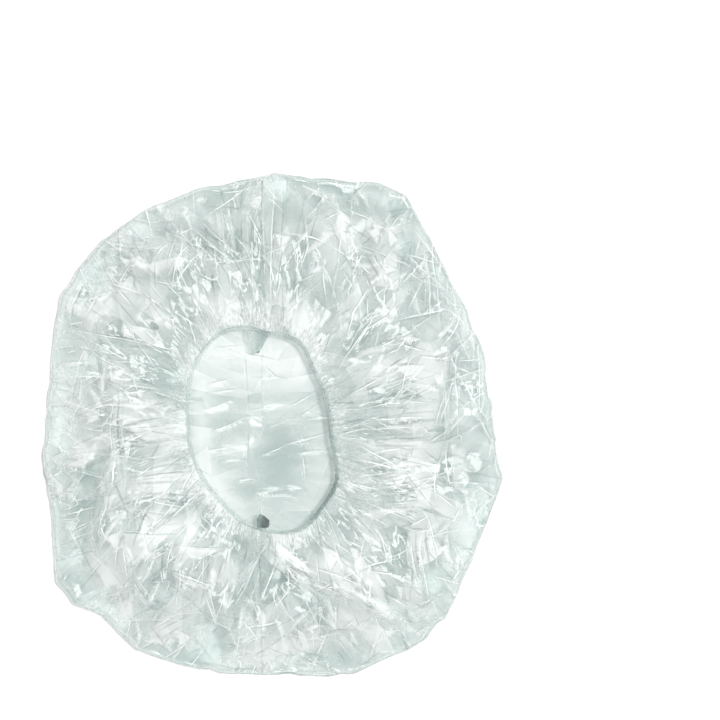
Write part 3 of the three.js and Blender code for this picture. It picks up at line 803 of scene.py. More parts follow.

# %% [markdown]
# Beyond the facets there are places as wide as a thumb that are milkier or clearer than the rest: painted
# sheen where they are milkier, and painted shade where they are clearer. Under the mouth they paint light
# along the left of the rim and towards the top, and shade lower in the middle. A painted image could show
# them, but a few soft oval patches, listed one by one over a slow drift, do as well.

# %% The milky places: haze, painted sheen and painted shade
# Painted sheen where the strength is above 0 and painted shade where it is below: the place, two half
# widths, the turn in degrees and the strength.
UPPER_SHEEN_AND_SHADE = (
    (-42, 22, 9, 14, 0, -0.65), (-35, 37, 5, 8, 0, -0.40), (-77, -33, 6, 14, -12, -0.32),
    (-68, -20, 11, 5, 25, -0.40), (-85, -60, 4, 16, 12, -0.45), (-48, -68, 4, 12, 0, -0.30),
    (-14, -74, 16, 3, 59, -0.50), (8, -68, 10, 3, -35, -0.50), (18, -79, 10, 3, -65, -0.50),
    (-10, -49, 8, 8, 0, -0.32), (-28, -36, 11, 3.5, -42, -0.45), (-50, -33, 12, 2.5, 0, -0.30),
    (15, -50, 7, 6, 0, -0.45), (28, -32, 10, 8, 0, -0.35), (55, -58, 3.5, 15, 5, -0.20),
    (69, -68, 5, 10, 25, -0.90), (62, -40, 6, 5, 0, -0.15), (86, -34, 3, 13, 18, -0.75),
    (88, 4, 3.5, 14, 0, -0.50), (70, 1, 4, 7, 0, -0.50), (49, 12, 10, 4, 20, -0.60),
    (40, -3, 14, 2.5, 0, -0.50), (32, 33, 8, 6, 45, -0.45), (60, 50, 4, 10, 10, -0.30),
    (73, 56, 3, 18, 25, -0.35), (57, 71, 4, 7, 0, -0.50), (21, 53, 8, 5, 0, -0.45),
    (-15, 79, 3, 12, 0, -0.05), (-4, 72, 3.5, 15, 0, -0.40), (8, 63, 4, 8, 0, -0.30),
    (33, 91, 8, 4.5, 0, -0.45), (52, 92, 8, 4, -40, -0.40), (12, 102, 14, 3, 0, -0.40),
    (-20, 100, 9, 4, 15, -0.35), (-45, 63, 13, 2.5, 5, -0.35), (-36, 81, 11, 3, -22, -0.05),
    (-32, -98, 18, 3.5, 10, -0.50), (22, -100, 15, 3, 0, -0.40), (-22, -84, 3, 10, 0, -0.30),
    (-10, 93, 4.5, 5, 0, 0.50), (-58, 78, 8, 7, 0, 0.45), (-50, 45, 9, 5, 15, 0.35),
    (-71, 42, 9, 8, 0, 0.38), (-26, 51, 9, 6, 20, 0.25), (-65, 21, 7, 4, 0, 0.35),
    (-48, -22, 14, 5, 0, 0.42), (-40, -45, 13, 8, -28, 0.35), (-68, -66, 5, 17, 35, 0.85),
    (-80, -11, 7, 3, 0, 0.35), (-46, -88, 7, 4, 0, 0.55), (0, -62, 5, 5, 0, 0.40),
    (4, -95, 15, 4, 8, 0.80), (27, -58, 8, 8, 0, 0.35), (37, -63, 12, 4, -25, 0.26),
    (32, -81, 6, 6, 0, 0.45), (46, -87, 9, 5, 15, 0.55), (68, -50, 4, 6, 0, 0.35),
    (77, -52, 4, 9, 0, 0.28), (58, -21, 8, 6, 0, 0.25), (58, -8, 9, 4, 0, 0.45),
    (79, -14, 3, 12, 0, 0.30), (45, 62, 5, 5, 0, 0.25), (51, 82, 6, 6, 0, 0.45), (13, 45, 15, 6, 0, 0.15),
    (24, 86, 8, 6, 0, -0.15), (46, 44, 7, 5, 0, 0.25), (66, 22, 8, 5, 10, 0.30),
)
# Painted light and shade under the mouth, in the same columns: lighter along the left of the rim and
# towards the top, darker lower in the middle.
CROWN_LIGHT_AND_SHADE = (
    (-17, 32, 17, 9, 0, 0.60), (6, 30, 15, 11, 0, 0.52), (-31, -3, 4.5, 26, 5, 0.75),
    (-21, -30, 17, 4.5, -50, 0.75), (-2, 12, 22, 12, 0, 0.28), (3, -16, 12, 11, 20, -0.55),
    (-12, -24, 11, 7, 0, -0.30), (-22, 17, 10, 4, 0, -0.20), (13, -31, 9, 8, 0, 0.20),
    (18, 5, 6, 14, 10, -0.10),
)
# The painted glints that show through the mouth, as milky facets: three corners each and the strength.
CROWN_GLINT_SHARDS = (
    (-31, 6, -18, 11, -21, 6, 0.9), (-26, -3, -12, 4, -17, -1, 0.9), (-12, 4, -4, 0, -10, 0.5, 0.9),
    (-19, -9, -12, -7, -12, -11, 0.8), (-29, 17, -18, 19, -23, 16, 0.7), (-7, -29, 0, -27, -4, -31, 0.8),
    (12, -13, 13, -24, 14, -22, 0.8), (4, -9, 24, -2, 14, -6, 0.5), (-2, -1, 11, 3, 5, 0.5, 0.5),
)
# The milk is partly the film's haze and partly painted sheen. Where it falls low, and towards the outer
# fold, the film gets the painted shade of clear film.
MILK_AND_SHEEN_LEVEL = 0.38
CROWN_MILK_AND_SHEEN = 0.30
CROWN_LIGHT_AND_SHADE_SHARE = 0.7
CROWN_DRIFT = 0.35
MILK_AND_SHEEN_DRIFT = 0.16
SHEEN_AND_SHADE_SHARE = 0.85
SHARD_GLINT_AND_SHADE_SHARE = 0.9
OUTER_CLEAR = 0.34
OUTER_BAND = (4, 24)
wander = drift(x, y, 13.0, 91) - 0.5 + 0.7 * (drift(x, y, 6.0, 92) - 0.5)
crown_wander = drift(0.3 * x, y, 7.0, 93) - 0.5 + 0.6 * (drift(0.4 * x, y, 3.0, 94) - 0.5)
upper_milk_and_sheen = MILK_AND_SHEEN_LEVEL + SHEEN_AND_SHADE_SHARE * patches(x, y, UPPER_SHEEN_AND_SHADE) + MILK_AND_SHEEN_DRIFT * wander
upper_milk_and_sheen = upper_milk_and_sheen + SHARD_GLINT_AND_SHADE_SHARE * shard_glint_and_shade
edge_distance = np.linalg.norm(base - base[:, UPPER_START:UPPER_START + 1], axis=2)
upper_milk_and_sheen = upper_milk_and_sheen - OUTER_CLEAR * (1 - ease(edge_distance, *OUTER_BAND))
crown_milk_and_sheen = CROWN_MILK_AND_SHEEN + CROWN_LIGHT_AND_SHADE_SHARE * patches(x, y, CROWN_LIGHT_AND_SHADE) + CROWN_DRIFT * crown_wander
crown_milk_and_sheen = crown_milk_and_sheen + shards(*curved, CROWN_GLINT_SHARDS)
marks = np.stack([
    np.where(on_upper, upper_ridge[0], crown_ridge[0]),
    np.where(on_upper, upper_ridge[1], crown_ridge[1]),
    np.where(on_upper, upper_milk_and_sheen, crown_milk_and_sheen),
], -1)
print("milk from", marks[..., 2].min().round(2), "to", marks[..., 2].max().round(2))

# %% [markdown]
# Two helpers put grids of points into meshes. A sheet is a plain grid of quads. A tube is a grid whose
# rows close on themselves, with a face at each end. Each also gets a map of the surface in metres, so
# that the finish can run along a pleat or round a strand.

# %% Mesh helpers
def mesh_object(name, points, faces, places):
    """A smooth mesh from points in millimetres, with a surface map from the places of its points."""
    mesh = bpy.data.meshes.new(name)
    mesh.from_pydata((points * MM).tolist(), [], faces)
    mesh.polygons.foreach_set("use_smooth", np.ones(len(mesh.polygons), bool))
    corners = np.empty(len(mesh.loops), np.int32)
    mesh.loops.foreach_get("vertex_index", corners)
    layer = mesh.uv_layers.new(name="surface_map")
    layer.uv.foreach_set("vector", (places[corners] * MM).astype(np.float32).ravel())
    mesh.update()
    made = bpy.data.objects.new(name, mesh)
    bpy.context.scene.collection.objects.link(made)
    return made


def grid_quads(place):
    """The quads of a grid of point numbers."""
    return np.stack([place[:-1, :-1], place[:-1, 1:], place[1:, 1:], place[1:, :-1]], -1).reshape(-1, 4)


def sheet_object(name, grid, places):
    """A sheet of quads over a grid of points."""
    place = np.arange(grid.shape[0] * grid.shape[1]).reshape(grid.shape[:2])
    return mesh_object(name, grid.reshape(-1, 3), grid_quads(place).tolist(), places.reshape(-1, 2))


def tube_object(name, grid):
    """A closed tube: each row of the grid is one ring, and both ends have a face."""
    rows, sides = grid.shape[:2]
    place = np.arange(rows * sides).reshape(rows, sides)
    faces = grid_quads(np.concatenate([place, place[:, :1]], axis=1)).tolist()
    faces += [place[0, ::-1].tolist(), place[-1].tolist()]
    run = np.concatenate([[0], np.cumsum(np.linalg.norm(np.diff(grid.mean(1), axis=0), axis=1))])
    girth = np.linalg.norm(np.roll(grid[0], -1, axis=0) - grid[0], axis=1).sum()
    around = np.linspace(0, max(girth, 1.0), sides, endpoint=False)
    places = np.stack(np.broadcast_arrays(run[:, None], around[None, :]), -1)
    return mesh_object(name, grid.reshape(-1, 3), faces, places.reshape(-1, 2))


# %% [markdown]
# Each panel is half of the grid. The wall gets a thickness that is thicker than real film but too thin to
# see. Where the mouth is pulled wide, the film beside the seam draws out of its gathers.

# %% The film panels
FILM_THICKNESS = 0.12
MAP_GIRTH = 400.0
MAP_STEP = 1.6
CROWN_MAP_START = 0.110
EDGE_MAP_REACH = FOLD_STEPS / 2 * MAP_STEP * MM
BLEND_REACH = 34.0
share_run = np.concatenate([mouth_share, [1.0]])
film_run = closed(film)
marks_run = closed(marks)
film_places = np.stack(np.broadcast_arrays(share_run[:, None] * MAP_GIRTH, closed(hem_distance)), -1)
crown_columns = columns < UPPER_START
film_places[:, crown_columns, 1] = CROWN_MAP_START / MM + (UPPER_START - columns[crown_columns]) * MAP_STEP
sides = {"left": (slice(0, SIDE_STEPS + 1), -1), "right": (slice(SIDE_STEPS, 2 * SIDE_STEPS + 1), 1)}


def follow_side(piece, side):
    """Bakes a piece's place into its points."""
    (seam_x + side * BLEND_REACH) * MM
    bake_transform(piece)


def keep(piece, name, kind, values):
    """Stores values on the points of a mesh under a name: one number each, or two or three."""
    layer = piece.data.attributes.new(name, kind, "POINT")
    field = "value" if kind == "FLOAT" else "vector"
    layer.data.foreach_set(field, np.ascontiguousarray(values, np.float32).ravel())


film_pieces = {}
for word, (rows, side) in sides.items():
    piece = sheet_object(f"{word}_film_sheet", film_run[rows][:, ::-1], film_places[rows][:, ::-1])
    keep(piece, "marks", "FLOAT_VECTOR", marks_run[rows][:, ::-1])
    for name, (away, sharp) in line_sets.items():
        pair = np.stack([away, np.where(on_upper, sharp, 0)], -1)
        keep(piece, name, "FLOAT2", closed(pair)[rows][:, ::-1])
    wall = piece.modifiers.new("wall", "SOLIDIFY")
    wall.thickness = FILM_THICKNESS * MM
    wall.offset = 0
    wall.material_offset = 1
    film_pieces[word] = piece
    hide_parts(f"{word}_film")
    follow_side(piece, side)
    area = sum(face.area for face in piece.data.polygons)
    print(word, "film area", round(area, 4), "m2", len(piece.data.polygons), "quads")

# %% [markdown]
# The hem is the film's edge folded over the elastic. The elastic has drawn it in to well under half its
# length, so both of its walls stand in fine pleats. It is a flattened tube round half of the mouth, with
# each wall pushed in and out by its own zigzag, and it closes flat at the seam where it is welded.

# %% The hem and the elastic
HEM_STEPS = 760
HEM_SIDES = 14
HEM_PLEATS = 62
HEM_WALL_REACH = 0.60
HEM_PLEAT_DEPTH = 0.26
HEM_END_SHARE = 0.12
HEM_END_REACH = 2.5
HEM_WALL_SHIFT = 0.37
HEM_LEAST_DEPTH = 0.35
HEM_EDGE_ROOM = 0.25
HEM_EDGE_WAVE = 0.22
HEM_LEAST_LEAN = 0.04
HEM_LEAN_DRIFT = 0.12
# Painted shade on the hem's outer wall, as a share of that on its inner wall.
HEM_OUTER_SHADE = 0.5
# How the hem's pleats wander: by how many pleats, over how many, and the seed.
HEM_WANDER = ((4.0, 5.0, 81), (1.1, 1.7, 82))
# Where the hem leans outwards at its top and where it gets a painted shade: the share of the way round, the
# half width there, the slope and the share of the painted shade.
HEM_LEANS = (
    (0.64, 0.06, 0.13, 1.0), (0.75, 0.05, 0.10, 0.6), (0.83, 0.06, 0.09, 0.25), (0.92, 0.05, 0.09, 0.18),
    (0.36, 0.06, 0.12, 0.1),
)
ELASTIC_STEPS = 300
ELASTIC_SIDES = 12
ELASTIC_HEIGHT = 3.0
ELASTIC_THICKNESS = 0.6
RIB_LENGTH = 1.1
RIB_DEPTH = 0.08


def half_mouth(rows, steps):
    """Even points along half of the mouth, with the outward directions there and the share of the way."""
    share = share_run[rows]
    points = even_path(closed(mouth_points)[rows], steps)
    way = np.gradient(points, axis=0)
    outward = np.stack([-way[:, 1], way[:, 0]], 1)
    outward *= np.sign(np.sum(outward * (points - mouth_centre), axis=1))[:, None]
    outward /= np.linalg.norm(outward, axis=1, keepdims=True)
    return points, outward, np.linspace(share[0], share[-1], steps + 1)


def ring_section(points, outward, level, out_offset, up_offset):
    """Rings along the mouth: each ring's points lie out from the path and up from its level."""
    place = points[:, None] + outward[:, None] * out_offset[..., None]
    return np.concatenate([place, (level[:, None] + up_offset)[..., None]], axis=2)


def hem_rings(rows):
    """The hem's rings: an oval section whose outward offset is cos x wall reach plus a zigzag of the wall's
    own, leaning a little outwards at the top, and flattened over HEM_END_REACH at each end. With them comes
    a painted shade, from 0 to 1, strongest on its inner wall at some places round the mouth."""
    points, outward, share = half_mouth(rows, HEM_STEPS)
    angle = np.linspace(2 * np.pi, 0, HEM_SIDES, endpoint=False)
    from_end = np.minimum(np.arange(HEM_STEPS + 1), np.arange(HEM_STEPS, -1, -1))[:, None]
    from_end = from_end * mouth_girth / 2 / HEM_STEPS
    open_share = HEM_END_SHARE + (1 - HEM_END_SHARE) * ease(from_end, 0, HEM_END_REACH)
    at = share[:, None] * 2 * HEM_PLEATS

    def stray(cell, seed):
        return drift(at, np.zeros_like(at), cell, seed)

    wander = sum(push * stray(cell, seed) for push, cell, seed in HEM_WANDER)
    inner = np.cos(angle) < 0
    phase = at + wander + np.where(inner, HEM_WALL_SHIFT, 0.0)
    depth = HEM_PLEAT_DEPTH * (HEM_LEAST_DEPTH + (1 - HEM_LEAST_DEPTH) * stray(2.3, 83))
    out = np.cos(angle) * HEM_WALL_REACH * open_share + depth * zigzag(phase) * open_share
    edge_wave = HEM_EDGE_WAVE * zigzag(0.5 * phase + 0.3)
    up = np.sin(angle) * (hem_height / 2 - HEM_EDGE_ROOM) + edge_wave * np.abs(np.sin(angle))
    lean = HEM_LEAST_LEAN + HEM_LEAN_DRIFT * stray(22.0, 84)
    shade_layers = np.zeros_like(out)
    for place, reach_round, more, shaded in HEM_LEANS:
        here = np.exp(-((share[:, None] - place) / reach_round) ** 2)
        lean = lean + more * here
        shade_layers = np.maximum(shade_layers, shaded * here * np.where(inner, 1.0, HEM_OUTER_SHADE))
    out = out + lean * up
    return ring_section(points, outward, rim_level(share), out, up), shade_layers


def elastic_rings(rows):
    """The elastic's rings: a flat strand of rounded section, with a shallow rib each step of its knit."""
    points, outward, share = half_mouth(rows, ELASTIC_STEPS)
    angle = np.linspace(2 * np.pi, 0, ELASTIC_SIDES, endpoint=False)
    run = share[:, None] * mouth_girth
    rib = 1 + RIB_DEPTH * np.cos(2 * np.pi * run / RIB_LENGTH)
    squared = np.sign(np.sin(angle)) * np.sqrt(np.abs(np.sin(angle)))
    out = np.cos(angle) * ELASTIC_THICKNESS / 2 * rib
    up = squared * ELASTIC_HEIGHT / 2 * np.ones_like(run)
    return ring_section(points, outward, rim_level(share), out, up)


hem_pieces = {}
elastic_pieces = {}
for word, (rows, side) in sides.items():
    rings, shade_layers = hem_rings(rows)
    hem = tube_object(f"{word}_hem_gathers", rings)
    keep(hem, "shade_layers", "FLOAT", shade_layers)
    elastic = tube_object(f"{word}_elastic_strand", elastic_rings(rows))
    for piece, slot in ((hem, "hem"), (elastic, "elastic")):
        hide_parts(f"{word}_{slot}")
        follow_side(piece, side)
    hem_pieces[word] = hem
    elastic_pieces[word] = elastic
    print(word, "hem", len(hem.data.polygons), "faces, elastic", len(elastic.data.polygons), "faces")

# %% [markdown]
# The seam joins the two panels: a narrow weld all the way from the mouth, round the outer fold and under
# the crown. It follows the film's own edge, so it rides up and down with every fold there. Its section
# has two low beads, the marks of the welding bar.

# %% The seam
SEAM_THICKNESS = 0.08
SEAM_SHARE = 0.55
SEAM_STRIDE = 8
SEAM_LEAST_STEP = 0.05
SEAM_SECTION = np.array([
    (-1.0, 0.0), (-0.82, 0.5), (-0.62, 1.0), (-0.4, 0.45), (0.0, 0.3), (0.4, 0.45), (0.62, 1.0),
    (0.82, 0.5), (1.0, 0.0), (0.5, -0.4), (0.0, -0.5), (-0.5, -0.4),
])


def seam_path():
    """The film's edge at the seam: from the hem at the back down to the crown, along it and up again."""
    back = film[0, ::-1]
    under = film[1:SIDE_STEPS, 0]
    front = film[SIDE_STEPS]
    path = np.concatenate([back, under[::SEAM_STRIDE], front])
    steps = np.linalg.norm(np.diff(path, axis=0), axis=1)
    return path[np.concatenate([[True], steps > SEAM_LEAST_STEP])]


def seam_rings():
    """Rings along the seam's path: the section's first number runs across in half widths of the seam,
    the second along the film's normal, which lies in the seam's plane."""
    path = seam_path()
    way = np.gradient(path, axis=0)
    normal = np.stack([np.zeros(len(path)), -way[:, 2], way[:, 1]], 1)
    normal /= np.maximum(np.linalg.norm(normal, axis=1, keepdims=True), TINY)
    across = np.array([1.0, 0, 0])
    return (
        path[:, None]
        + across * (SEAM_SECTION[:, :1] * SEAM_SHARE * seam_width / 2)
        + normal[:, None] * (SEAM_SECTION[:, 1:] * SEAM_THICKNESS)
    )


seam = tube_object("crown_seam_weld", seam_rings())
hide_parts("crown_seam")
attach(seam, "seam")
print("seam", len(seam.data.polygons), "faces")

# %% [markdown]
# At both ends of the seam the weld runs through the hem and stands into the mouth as a small tab. Film
# that has been welded four layers thick is stiff, so the tab is crumpled and twists as it stands in.

# %% The tabs
TAB_STEPS = 30
TAB_SIDES = 18
TAB_DENT = 1.4
TAB_FACET = 2.2
TAB_THICKNESS = 0.55
TAB_TAPER = 0.4
TAB_SQUARENESS = 0.6
TAB_APART = 9


def tab_rings(node, way, begin, reach, turn, root, tip, stray, skew):
    """A tab's rings from the hem inwards: they begin, and reach on, by shares of the solid tab's length.
    The section is flat, root and tip are its half widths, and it is laid over by the turn from upright.
    It strays aside by the first number of stray at the root and the second at the tip, and facets push it
    in and out. With them comes a painted shade, strong on its right side and weak on its left."""
    low, high = node_box(node)
    middle = (low + high) / 2
    length = reach * (high[1] - low[1])
    share = np.linspace(0, 1, TAB_STEPS + 1)[:, None]
    angle = np.linspace(0, 2 * np.pi, TAB_SIDES, endpoint=False)[None, :]
    wide = (root + (tip - root) * ease(share, 0.1, 1.0)) * (1 - TAB_TAPER * share ** 5)
    a = np.cos(angle) * TAB_THICKNESS * (1 - TAB_TAPER * share)
    b = np.sign(np.sin(angle)) * np.abs(np.sin(angle)) ** TAB_SQUARENESS * wide
    run = share * length
    dent = facets(run * np.ones_like(angle), b + TAB_APART * np.sign(a), TAB_FACET, 91)
    dent = TAB_DENT * dent * ease(share, 0.0, 0.3)
    a = a + dent * np.sign(np.cos(angle))
    across = a * math.cos(turn) - b * math.sin(turn)
    up = a * math.sin(turn) + b * math.cos(turn)
    base_y = low[1] if way > 0 else high[1]
    begin = begin * (high[1] - low[1])
    along = base_y + way * (begin + run + 0.9 * dent + skew * share * across)
    aside = stray[0] + (stray[1] - stray[0]) * share
    # Painted shade, stronger towards the tab's right side.
    shade_layers = ease(across, -0.25 * root, 0.15 * root)
    return np.stack([middle[0] + across + aside, along, middle[2] + up], -1), shade_layers


# The order turns the rings of one tab round, so that the faces of both look outwards.
tab_pieces = {}
for node, shape, order in (
    ("back_tab", (-1, 0.05, 1.25, 1.2, 5.0, 2.2, (-0.6, -1.8), -0.3), 1),
    ("front_tab", (1, 0.30, 0.62, -1.0, 2.2, 3.3, (0.4, 1.2), -0.45), -1),
):
    rings, shade_layers = tab_rings(node, *shape)
    piece = tube_object(f"{node}_weld", rings[:, ::order])
    keep(piece, "shade_layers", "FLOAT", shade_layers[:, ::order])
    tab_pieces[node] = piece
    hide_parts(node)
    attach(piece, "seam")
    print(node, len(piece.data.polygons), "faces")

# %% [markdown]
# Each panel is a half oval cut from flat film, and its hem is the same film, folded.

# %% [markdown]
# Clear film has hardly any colour of its own. What shows is the light it turns away: a mirror's glint on
# each facet, a little more of it towards the edges, and a white line along each crease, partly where it has
# bruised and partly a painted highlight.
# An image could be painted for this, but nodes stay sharp at any distance. A few helpers put the nodes
# in, and a wire stands for a node's output, so that the sums between nodes can be written as sums.

# %% Finish helpers
class Wire:
    """The output of a node. A sum of wires and plain values adds the nodes that work it out."""

    def __init__(self, socket):
        self.socket = socket
        self.tree = socket.id_data

    def work(self, operation, *others):
        """The result of one operation, on vectors if this wire carries a vector or a colour."""
        kind = "ShaderNodeMath"
        if self.socket.type != "VALUE":
            kind = "ShaderNodeVectorMath"
            others = [(other,) * 3 if isinstance(other, float) else other for other in others]
        return read(self.tree, kind, 0, dict(enumerate((self, *others))), operation=operation)

    def __add__(self, other):
        return self.work("ADD", other)

    def __sub__(self, other):
        return self.work("SUBTRACT", other)

    def __mul__(self, other):
        return self.work("MULTIPLY", other)

    def __abs__(self):
        return self.work("ABSOLUTE")

    def largest(self, other):
        """The larger of two numbers."""
        return self.work("MAXIMUM", other)


def put(tree, kind, inputs=None, **settings):
    """Adds a node. Each input is a plain value, or a wire that feeds it."""
    made = tree.nodes.new(kind)
    for key, value in settings.items():
        setattr(made, key, value)
    for key, value in (inputs or {}).items():
        if isinstance(value, Wire):
            tree.links.new(value.socket, made.inputs[key])
        else:
            made.inputs[key].default_value = value
    return made


def read(tree, kind, output, inputs=None, **settings):
    """Adds a node and gives one of its outputs."""
    return Wire(put(tree, kind, inputs, **settings).outputs[output])


def split(vector):
    """The three numbers of a vector."""
    return [Wire(output) for output in put(vector.tree, "ShaderNodeSeparateXYZ", {0: vector}).outputs]


def kept(tree, name):
    """The three numbers that each point of a mesh keeps under a name."""
    return split(read(tree, "ShaderNodeAttribute", "Vector", attribute_name=name))


def ramp(value, start, end, low=0.0, high=1.0):
    """A number carried smoothly from one range to another."""
    inputs = {"Value": value, "From Min": start, "From Max": end, "To Min": low, "To Max": high}
    return read(value.tree, "ShaderNodeMapRange", "Result", inputs, interpolation_type="SMOOTHSTEP")


def noise(place, scale, detail, output="Fac"):
    """A soft random pattern, so many cells to the unit of its place, with finer ones by its detail."""
    inputs = {"Vector": place, "Scale": scale, "Detail": detail}
    return read(place.tree, "ShaderNodeTexNoise", output, inputs)


def cells(place):
    """The random colour of each cell of a pattern."""
    return read(place.tree, "ShaderNodeTexVoronoi", "Color", {"Vector": place, "Scale": 1.0})


def mixed(share, first, second, blend="MIX"):
    """Two colours mixed by a share: each is three numbers or a wire."""
    ends = [(*colour, 1) if isinstance(colour, tuple) else colour for colour in (first, second)]
    inputs = {"Factor": share, 6: ends[0], 7: ends[1]}
    return read(share.tree, "ShaderNodeMix", 2, inputs, data_type="RGBA", blend_type=blend)


def mixed_shader(share, first, second):
    """Two shaders mixed by a share."""
    return read(first.tree, "ShaderNodeMixShader", 0, {"Fac": share, 1: first, 2: second})


def new_finish(name):
    """An empty node material, and its tree."""
    material = bpy.data.materials.new(name)
    material.use_nodes = True
    material.node_tree.nodes.clear()
    return material, material.node_tree


def show(shader):
    """Makes a shader the look of its material."""
    put(shader.tree, "ShaderNodeOutputMaterial", {"Surface": shader})


# %% [markdown]
# The film's finish tilts the mirror by another small angle in each cell of two patterns, one even and one
# drawn out along the pleats. It draws a white line, partly a bruise and partly a painted highlight, with a
# painted shade beside it, where the kept distance to a ridge passes through nothing. It turns milky where
# the kept milk says so, which is partly the film's haze and partly painted sheen, and it paints shade under
# the crown, in the clearest places and along the outer fold.

# %% The film's finish
# The white lines on the ridges, partly bruise and partly painted highlight: half width in millimetres, and
# shares of it for the core and the painted shade beside it.
LINE_WIDTH = 0.31
LINE_CORE = 0.4
LINE_WHITE = 0.95
SHADE_ASIDE = 2.2
SHADE_FADE = (0.5, 1.6)
RIDGE_SHADE = 0.7
SHADE_TINT = (0.52, 0.59, 0.58)
# The scattered lines: their half width in millimetres, and how white and how dark they are.
LINE_SETS = (("creases", 0.33, 1.0, 0.75), ("hairs", 0.27, 1.0, 0.65))
MOOD_SCALE = 90.0
MOOD_RAMP = (0.35, 0.60, 0.55, 1.0)
# The milk, partly the film's haze and partly painted sheen: shares of the patterns in it, the range in
# which it shows, and how white it gets.
CLOUD_SHARE = 0.8
STREAK_SHARE = 0.8
HAIR_SHARE = 1.1
HEM_MILK_AND_SHEEN = 0.15
MILK_START = 0.75
MILK_END = 1.75
MILK_MOST = 0.66
MILK_TINT = (0.95, 0.98, 0.97)
SHADE_CUT = 0.8
# The painted shade tints: of the clearest places, of the outer fold, and how much less of the crown's
# painted shade a milky crown takes.
CLEAR_START = 0.15
CLEAREST = -0.5
CLEAR_SHADE_TINT = (0.925, 0.953, 0.946)
EDGE_SHADE_TINT = (0.50, 0.58, 0.56)
EDGE_REACH = 0.0045
EDGE_SHADE = 0.85
CROWN_SHADE_RAMP = (-0.1, 0.5, 1.0, 0.8)
LAYER_SHADE_RAMP = (0.2, 0.7, 0.6, 1.2)
# Along the surface map in metres: where the film comes near the hem, and where it is pressed on the table.
HEM_BAND = (0.003, 0.016)
CROWN_BAND = (CROWN_MAP_START + 0.010, CROWN_MAP_START + 0.024)
CROWN_LEAN = 0.45
# Cells to the metre of the wide, the long and the finest facets and of the hairs, and what bends them.
WIDE_CELLS = (90.0, 48.0, 65.0)
WIDE_TURN = 0.6
LONG_CELLS = (150.0, 50.0, 1.0)
FINE_CELLS = (700.0, 160.0, 1.0)
HAIR_CELLS = (950.0, 420.0, 1.0)
WARP_SCALE = 16.0
WARP_REACH = 0.014
MAP_WARP_REACH = 0.010
CLOUD_SCALE = 30.0
CLOUD_JUMP = 0.3
# The mirror: how fast it grows towards the edges, and how rough its sheen and its glint are.
GRAZE_POWER = 4.0
SHEEN_RAMP = (0.3, 0.7, 0.14, 0.30)
GLINT_ROUGHNESS = 0.08


def tilt_of(colour, lean):
    """A small tilt that is the same all over each cell: its random colour, less a half, times the lean."""
    return (colour - 0.5) * lean


def cloud_of(spot, colour):
    """A soft cloud that jumps from cell to cell: each cell reads another part of one slow pattern."""
    return noise(spot + colour * CLOUD_JUMP, CLOUD_SCALE, 0.5)


def film_patterns(tree):
    """What the parts of a film's finish share: the places, the cells of three sizes, the clouds that jump
    from cell to cell, how near the hem is, and how much of its tilt the film keeps on the table."""
    spot = read(tree, "ShaderNodeTexCoord", "Object")
    place_on = read(tree, "ShaderNodeUVMap", "UV", uv_map="surface_map")
    warp = noise(spot, WARP_SCALE, 0.0, "Color")
    bent = spot + warp * WARP_REACH
    bent_on = place_on + warp * (MAP_WARP_REACH, MAP_WARP_REACH, 0.0)
    along = split(place_on)[1]
    turned = {"Vector": bent, "Rotation": (0, 0, WIDE_TURN), "Scale": WIDE_CELLS}
    wide = cells(read(tree, "ShaderNodeMapping", 0, turned))
    long, fine = (cells(bent_on * sizes) for sizes in (LONG_CELLS, FINE_CELLS))
    return SimpleNamespace(
        spot=spot, bent_on=bent_on, along=along, wide=wide, long=long, fine=fine,
        cloud=cloud_of(spot, wide),
        streak=cloud_of(spot, long),
        near_hem=ramp(along, *HEM_BAND, 1.0, 0.0),
        pressed=ramp(along, *CROWN_BAND, 1.0, CROWN_LEAN),
    )


def facet_normal(film, lean, fine_lean):
    """The film's normal, tilted by another small angle in each cell: less where it is pressed on the
    table, and by the finest cells only beside the hem."""
    tilt = (tilt_of(film.wide, lean) + tilt_of(film.long, lean)) * film.pressed
    fine_tilt = tilt_of(film.fine, fine_lean) * film.near_hem
    shape = read(film.spot.tree, "ShaderNodeNewGeometry", "Normal")
    return (shape + (tilt + fine_tilt)).work("NORMALIZE")


def ridge_lines(away, sharp, width):
    """The white line on a ridge, partly its bruise and partly a painted highlight, 1 where the distance to
    it passes through nothing, and the painted shade: along the ridge's left side, and down the middle of a
    valley, whose sharpness is below 0."""
    fade = [share * width for share in SHADE_FADE]
    near = ramp(abs(away), LINE_CORE * width, width, 1.0, 0.0)
    beside = ramp(abs(away - SHADE_ASIDE * width), *fade, RIDGE_SHADE, 0.0)
    valley = ramp(abs(away), *fade, 1.0, 0.0)
    raised = sharp.largest(0.0)
    sunk = (sharp * -1.0).largest(0.0)
    return near * raised, beside * raised + valley * sunk


def kept_lines(film, away, sharp):
    """The white lines, partly bruise and partly painted highlight, and the painted shades of all three sets
    of ridges, the strongest one at each place. The lines come and go with a soft pattern."""
    line, shade = ridge_lines(away, sharp, LINE_WIDTH)
    for name, width, white, dark in LINE_SETS:
        set_away, set_sharp, _ = kept(film.spot.tree, name)
        set_line, set_shade = ridge_lines(set_away, set_sharp, width)
        line = line.largest(set_line * white)
        shade = shade.largest(set_shade * dark)
    return line * ramp(noise(film.spot, MOOD_SCALE, 1.0), *MOOD_RAMP), shade


